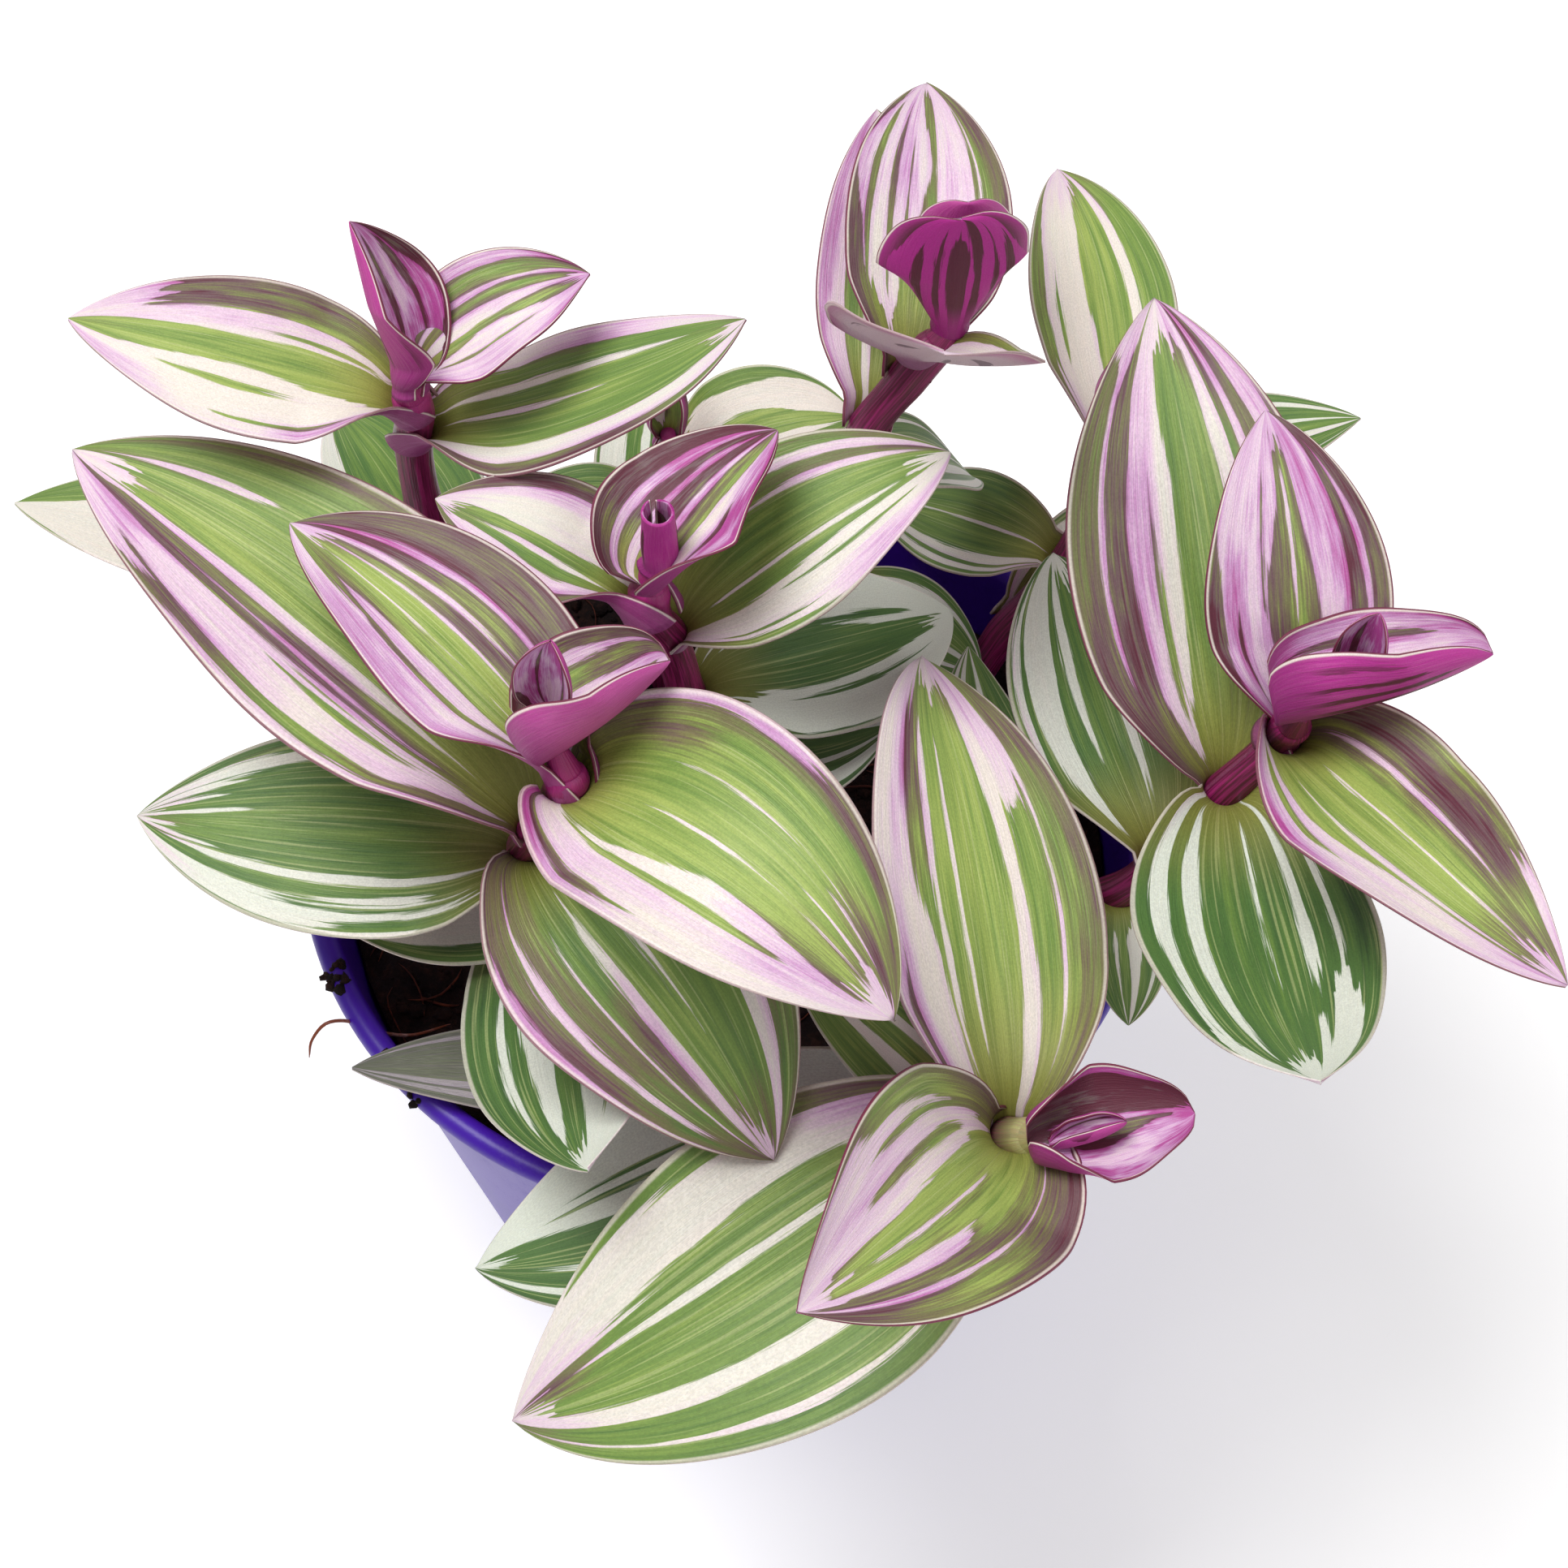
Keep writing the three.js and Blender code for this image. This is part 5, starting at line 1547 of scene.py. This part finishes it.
# %% Pot material
VIOLET = linear(58, 14, 150)
VIOLET_WORN = linear(84, 42, 172)
DUST = linear(150, 128, 150)


def where_mm(tree):
    """Object coordinates in millimetres."""
    node = put(tree, "ShaderNodeTexCoord")
    return put(tree, "ShaderNodeVectorMath", {0: node.outputs["Object"], 3: 1 / MM},
               operation="SCALE").outputs[0]


def make_dust():
    """Dust in slow patches with fine grains. Amount sets how much of the surface it covers."""
    tree, given, made = new_group(
        "dust", [("Where", VECTOR, (0, 0, 0)), ("Amount", NUMBER, 0.3)],
        [("Cover", NUMBER), ("Grain", NUMBER)])
    patch = noise(tree, given["Where"], 0.09, 3.0, 0.6)
    grain = noise(tree, given["Where"], 2.2, 2.0, 0.6)
    level = calc(tree, "SUBTRACT", 0.85, calc(tree, "MULTIPLY", given["Amount"], 0.6))
    mixed = calc(tree, "MULTIPLY_ADD", grain, 0.5, calc(tree, "MULTIPLY", patch, 0.9))
    cover = smooth(tree, mixed, level, 1.25)
    tree.links.new(cover, made["Cover"])
    tree.links.new(grain, made["Grain"])
    return tree


DUST_GROUP = make_dust()


def make_pot_material():
    """Violet plastic, a little worn and dusty."""
    material, tree, shader = new_material("violet plastic")
    where = where_mm(tree)
    dust = group_in(tree, DUST_GROUP, {"Where": where, "Amount": 0.25})
    shade = noise(tree, where, 0.05, 2.0)
    colour = blend(tree, smooth(tree, shade, 0.3, 0.8, 0.0, 0.25), VIOLET, VIOLET_WORN)
    share = calc(tree, "MULTIPLY", dust["Cover"], 0.2)
    fill(tree, shader, {
        "Base Color": blend(tree, share, colour, DUST),
        "Roughness": calc(tree, "MULTIPLY_ADD", dust["Cover"], 0.30, 0.38),
        "Normal": bump(tree, dust["Grain"], 0.12, 0.0002),
        "Specular IOR Level": 0.35,
    })
    return material


pot.data.materials.clear()
pot.data.materials.append(make_pot_material())
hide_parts("pot")
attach(pot, "root")
print("pot material:", pot.data.materials[0].name)

# %% [markdown]
# ## The soil
# The soil is dark, loose potting compost: a lumpy bed, crumbs on top and reddish coir fibres.
# Particles could scatter the crumbs, but the shared part has to carry them as mesh, so they are
# laid down one by one from a seeded source on the bed's own height. The bed comes first: rings
# round the middle, each point lifted by broad lumps, as in the solid, and by small ripples.

# %% Soil bed
BED_RINGS = 100
BED_SIDES = 220
BED_ROUGH = 0.9
BED_MIDDLE = 0.01
FOOT_MIDDLE = 0.5
RIPPLE_SEED = 5
RIPPLE_WAVES = (0.45, 0.8, 1.3, 2.1)
RIPPLES_EACH = 7
RIPPLES_TO_ONE = 9
RIPPLE_LIMIT = 1.2
BED_RADIUS = wall_radius(BEAD_LEVEL - SOIL_BELOW_BEAD - 2 * SOIL_LUMP) - GAP


def soil_level(x, y):
    """The solid's own soil level in mm, with its broad lumps."""
    broad = np.sin(LUMP_WAVE * x) * np.cos(LUMP_WAVE * y)
    small = np.sin(2 * LUMP_WAVE * (x - y)) / 2
    return BEAD_LEVEL - SOIL_BELOW_BEAD + SOIL_LUMP * (broad + small)


def ripples(x, y, rng):
    """Many small waves in all directions, for the loose surface."""
    total = np.zeros_like(x)
    for wave in RIPPLE_WAVES:
        for _ in range(RIPPLES_EACH):
            turn, phase = rng.uniform(0, 2 * math.pi, 2)
            total += np.sin(wave * (x * math.cos(turn) + y * math.sin(turn)) + phase) / wave ** 0.5
    return total / RIPPLES_TO_ONE


def bed_height(x, y):
    """Height of the rough bed in mm."""
    rough = ripples(x, y, np.random.default_rng(RIPPLE_SEED))
    return soil_level(x, y) + BED_ROUGH * np.clip(rough, -RIPPLE_LIMIT, RIPPLE_LIMIT)


def bed_mesh():
    """Points and faces of the bed: its rough top, its side and its flat foot."""
    radius = np.linspace(BED_MIDDLE, 1, BED_RINGS) * BED_RADIUS
    angle = np.linspace(0, 2 * math.pi, BED_SIDES, endpoint=False)
    x = radius[:, None] * np.cos(angle)
    y = radius[:, None] * np.sin(angle)
    top = np.stack([x, y, bed_height(x, y)], -1)
    low = wall_radius(FLOOR) - GAP
    z = np.full(BED_SIDES, FLOOR + GAP)
    foot = np.stack([low * np.cos(angle), low * np.sin(angle), z], -1)
    middle = np.stack([FOOT_MIDDLE * np.cos(angle), FOOT_MIDDLE * np.sin(angle), z], -1)
    points = np.concatenate([top, foot[None], middle[None]])
    faces = closed_faces(BED_RINGS + 2, BED_SIDES)
    return points.reshape(-1, 3), [face[::-1] for face in faces]


print("bed radius in mm:", round(BED_RADIUS, 1), "points:", (BED_RINGS + 2) * BED_SIDES)

# %% [markdown]
# ## Crumbs and fibres
# A crumb is a small ball pushed out of shape, and a fibre is a thin bent tube lying on the bed.
# Rounder crumbs from more faces would look no better at their size. The fibres are the stem's own
# rings again, so no second way to make a tube is needed.

# %% Crumbs and fibres
CRUMB_STRETCH = (0.6, 1.3)
CRUMB_KNOBS = 0.28
FIBRE_RING = 6
FIBRE_LENGTHS = (3, 13)
FIBRE_BOW = 0.35
FIBRE_POINTS = 9
FIBRE_REACH = 0.95
NO_ZERO = 1e-6


def ball():
    """Points and faces of a round ball of radius 1."""
    form = bmesh.new()
    bmesh.ops.create_icosphere(form, subdivisions=1, radius=1.0)
    points = np.array([v.co[:] for v in form.verts])
    faces = [[v.index for v in face.verts] for face in form.faces]
    form.free()
    return points, faces


BALL = ball()


def crumb_at(spot, size, rng):
    """One crumb: the ball made knobbly, stretched and turned."""
    points, faces = BALL
    stretch = rng.uniform(*CRUMB_STRETCH, 3)
    knobbly = 1 + rng.uniform(-CRUMB_KNOBS, CRUMB_KNOBS, len(points))
    turn = rng.uniform(0, 2 * math.pi)
    points = points * knobbly[:, None] * stretch * size
    spun = points.copy()
    spun[:, 0] = points[:, 0] * math.cos(turn) - points[:, 1] * math.sin(turn)
    spun[:, 1] = points[:, 0] * math.sin(turn) + points[:, 1] * math.cos(turn)
    return spun + spot, faces


def fibre_along(line, radius, ring=FIBRE_RING):
    """A thin tube along a line, narrow at both ends."""
    radii = radius * np.sqrt(np.clip(1 - np.linspace(-1, 1, len(line)) ** 4, 0.05, 1))
    points = rings_along(line, radii, ring)[0]
    return points.reshape(-1, 3), closed_faces(len(line), ring)


def loose_fibre(rng):
    """The line of one fibre that lies somewhere on the bed."""
    reach = BED_RADIUS * FIBRE_REACH * math.sqrt(rng.random())
    turn, lean = rng.uniform(0, 2 * math.pi, 2)
    length = rng.uniform(*FIBRE_LENGTHS)
    t = np.linspace(-0.5, 0.5, FIBRE_POINTS)
    bow = rng.uniform(-FIBRE_BOW, FIBRE_BOW) * length * (1 - 4 * t ** 2)
    x = reach * math.cos(turn) + length * t * math.cos(lean) - bow * math.sin(lean)
    y = reach * math.sin(turn) + length * t * math.sin(lean) + bow * math.cos(lean)
    inside = np.minimum(1, (BED_RADIUS - 1) / np.maximum(np.hypot(x, y), NO_ZERO))
    x, y = x * inside, y * inside
    z = bed_height(x, y) + rng.uniform(0.1, 0.9) + rng.uniform(-0.6, 1.2) * t
    return np.stack([x, y, z], -1)


def join_parts(name, parts):
    """One object from (points in mm, faces, material) parts, with its materials."""
    points, faces, slots, materials = [], [], [], []
    first = 0
    for part_points, part_faces, material in parts:
        if material not in materials:
            materials.append(material)
        points.append(part_points)
        faces += [[i + first for i in face] for face in part_faces]
        slots += [materials.index(material)] * len(part_faces)
        first += len(part_points)
    mesh = bpy.data.meshes.new(name)
    mesh.from_pydata((np.concatenate(points) * MM).tolist(), [], faces)
    for material in materials:
        mesh.materials.append(material)
    mesh.polygons.foreach_set("material_index", np.array(slots, np.int32))
    mesh.shade_smooth()
    mesh.update()
    return placed(name, mesh)


print("a crumb has", len(BALL[1]), "faces, a fibre", len(closed_faces(FIBRE_POINTS, FIBRE_RING)))

# %% [markdown]
# ## Peat, coir and root
# Moist peat is near black with brown grains, coir is reddish and the root is pale. All three are
# dull, two-toned and grainy, so one function makes them. An image of soil would repeat, and the
# same noise in millimetres fits the bed and each crumb.

# %% Soil materials
PEAT = linear(22, 13, 12)
PEAT_BROWN = linear(58, 34, 26)
COIR = linear(122, 62, 40)
COIR_DARK = linear(70, 34, 26)
ROOT_PALE = linear(196, 164, 160)


def earthy(name, dark, light, scale, rough, relief):
    """A dull two-tone earth or fibre: the tones follow noise at the given scale per mm."""
    material, tree, shader = new_material(name)
    where = where_mm(tree)
    grain = noise(tree, where, scale, 5.0, 0.65)
    patch = noise(tree, where, scale * 0.2, 2.0)
    tone = calc(tree, "MULTIPLY_ADD", patch, 0.5, calc(tree, "MULTIPLY", grain, 0.7))
    colour = blend(tree, smooth(tree, tone, 0.5, 0.85), dark, light)
    fill(tree, shader, {
        "Base Color": colour,
        "Roughness": calc(tree, "MULTIPLY_ADD", grain, 0.2, rough),
        "Normal": bump(tree, grain, relief, 0.0006),
        "Specular IOR Level": 0.25,
    })
    return material


PEAT_MATERIAL = earthy("peat", PEAT, PEAT_BROWN, 0.9, 0.8, 1.0)
COIR_MATERIAL = earthy("coir fibre", COIR_DARK, COIR, 0.6, 0.7, 0.4)
ROOT_MATERIAL = earthy("pale root", COIR, ROOT_PALE, 0.3, 0.6, 0.3)
print("soil materials:", PEAT_MATERIAL.name, COIR_MATERIAL.name, ROOT_MATERIAL.name)

# %% [markdown]
# ## The soil laid down
# The crumbs lie evenly over the round bed, which a plain random distance from the middle would not
# give: a square root of it does. Some crumbs stuck to the rim at the left when the plant was
# potted, and a long pale root came to lie over it. Those places are typed, because they show.

# %% Lay the soil
SOIL_SEED = 11
CRUMBS = 1500
CRUMB_SIZES = (0.35, 1.1)
CRUMB_RAISED = 0.2
CRUMBS_OFF_WALL = 1.5
RIM_CRUMB_SIZES = (0.35, 0.9)
RIM_SPREAD = 0.9
RIM_TOP = 120
FIBRES = 330
FIBRE_RADII = (0.08, 0.22)
ROOT_STEPS = 40
ROOT_RADIUS = 0.26
ROOT_RING = 8
RIM_CLUSTERS = ((204, 12), (206, 9), (221, 8), (224, 8), (227, 5))
ROOT_PATH = ((-38.5, -26.5, -10.2), (-43.5, -29.5, -7.5), (-48.0, -31.0, -3.0),
             (-51.5, -31.4, 1.0), (-54.0, -32.4, 2.15), (-56.0, -34.0, 0.2), (-56.6, -35.2, -2.6))


def rim_point(turn, over):
    """A point on the bead, over degrees up from its outermost line."""
    lean = math.radians(over)
    reach = BEAD_CENTRE + BEAD_RADIUS * math.cos(lean)
    return np.array([reach * math.cos(turn), reach * math.sin(turn),
                     BEAD_LEVEL + BEAD_RADIUS * math.sin(lean)])


def lay_soil():
    """The bed with its crumbs, fibres and root as one piece."""
    rng = np.random.default_rng(SOIL_SEED)
    parts = [(*bed_mesh(), PEAT_MATERIAL)]
    for _ in range(CRUMBS):
        reach = (BED_RADIUS - CRUMBS_OFF_WALL) * math.sqrt(rng.random())
        turn = rng.uniform(0, 2 * math.pi)
        x, y = reach * math.cos(turn), reach * math.sin(turn)
        size = CRUMB_SIZES[0] + CRUMB_SIZES[1] * rng.random() ** 3
        height = float(bed_height(np.array(x), np.array(y)))
        spot = np.array([x, y, height + CRUMB_RAISED * size])
        parts.append((*crumb_at(spot, size, rng), PEAT_MATERIAL))
    for degrees, count in RIM_CLUSTERS:
        for _ in range(count):
            turn = math.radians(degrees + rng.normal(0, RIM_SPREAD))
            size = rng.uniform(*RIM_CRUMB_SIZES)
            spot = rim_point(turn, rng.uniform(0, RIM_TOP))
            parts.append((*crumb_at(spot, size, rng), PEAT_MATERIAL))
    for _ in range(FIBRES):
        radius = rng.uniform(*FIBRE_RADII)
        parts.append((*fibre_along(loose_fibre(rng), radius), COIR_MATERIAL))
    root = smooth_path([over_bead(p) for p in ROOT_PATH], ROOT_STEPS)[0]
    parts.append((*fibre_along(root, ROOT_RADIUS, ROOT_RING), ROOT_MATERIAL))
    return join_parts("potting_soil", parts)


soil = lay_soil()
dress(soil, "soil")
print("soil faces:", len(soil.data.polygons))

# %% [markdown]
# ## Floor and light
# The plant was seen in soft, even light on white, so the stage is a pale floor under a pale sky,
# with a large soft light above it, a little to the left, and a weaker, wider one in front on the
# right. The floor glows faintly, so that it stays pale in the pot's shade. A plain white backdrop
# would be simpler, but then the pot would seem to hang in the air.

# %% Stage
FLOOR_TONE = linear(244, 244, 243)
FLOOR_SHADE = linear(238, 238, 237)
FLOOR_REACH = 3.0
FLOOR_GLOW = 0.36
SKY = linear(253, 252, 250)
HEART = (0.0, 0.0, 0.13)


def make_floor():
    """A flat, matt, faintly glowing square that the pot stands on."""
    mesh = bpy.data.meshes.new("floor")
    corners = [(x * FLOOR_REACH, y * FLOOR_REACH, 0) for x, y in ((-1, -1), (1, -1), (1, 1), (-1, 1))]
    mesh.from_pydata(corners, [], [(0, 1, 2, 3)])
    floor = placed("floor", mesh)
    material, tree, shader = new_material("pale floor")
    tone = noise(tree, where_mm(tree), 0.004, 2.0)
    fill(tree, shader, {
        "Base Color": blend(tree, tone, FLOOR_TONE, FLOOR_SHADE),
        "Roughness": 0.9,
        "Emission Color": FLOOR_TONE,
        "Emission Strength": FLOOR_GLOW,
    })
    mesh.materials.append(material)


def make_light(name, spot, size, power):
    """A soft round light that looks at the heart of the plant."""
    data = bpy.data.lights.new(name, "AREA")
    data.shape = "DISK"
    data.size = size
    data.energy = power
    light = placed(name, data)
    light.location = spot
    way = np.array(spot) - np.array(HEART)
    light.rotation_euler = (math.acos(way[2] / np.linalg.norm(way)), 0,
                            math.atan2(way[1], way[0]) + math.pi / 2)


def make_sky(strength):
    """Even light from all sides."""
    world = bpy.data.worlds.new("pale sky")
    world.use_nodes = True
    tree = world.node_tree
    fill(tree, tree.nodes["Background"], {"Color": SKY, "Strength": strength})
    bpy.context.scene.world = world


make_floor()
make_light("key", (-0.32, 0.05, 1.1), size=0.6, power=9.8)
make_light("fill", (0.7, -0.5, 0.9), size=1.0, power=3.2)
make_sky(0.38)
print("lights:", [light.name for light in bpy.data.lights])
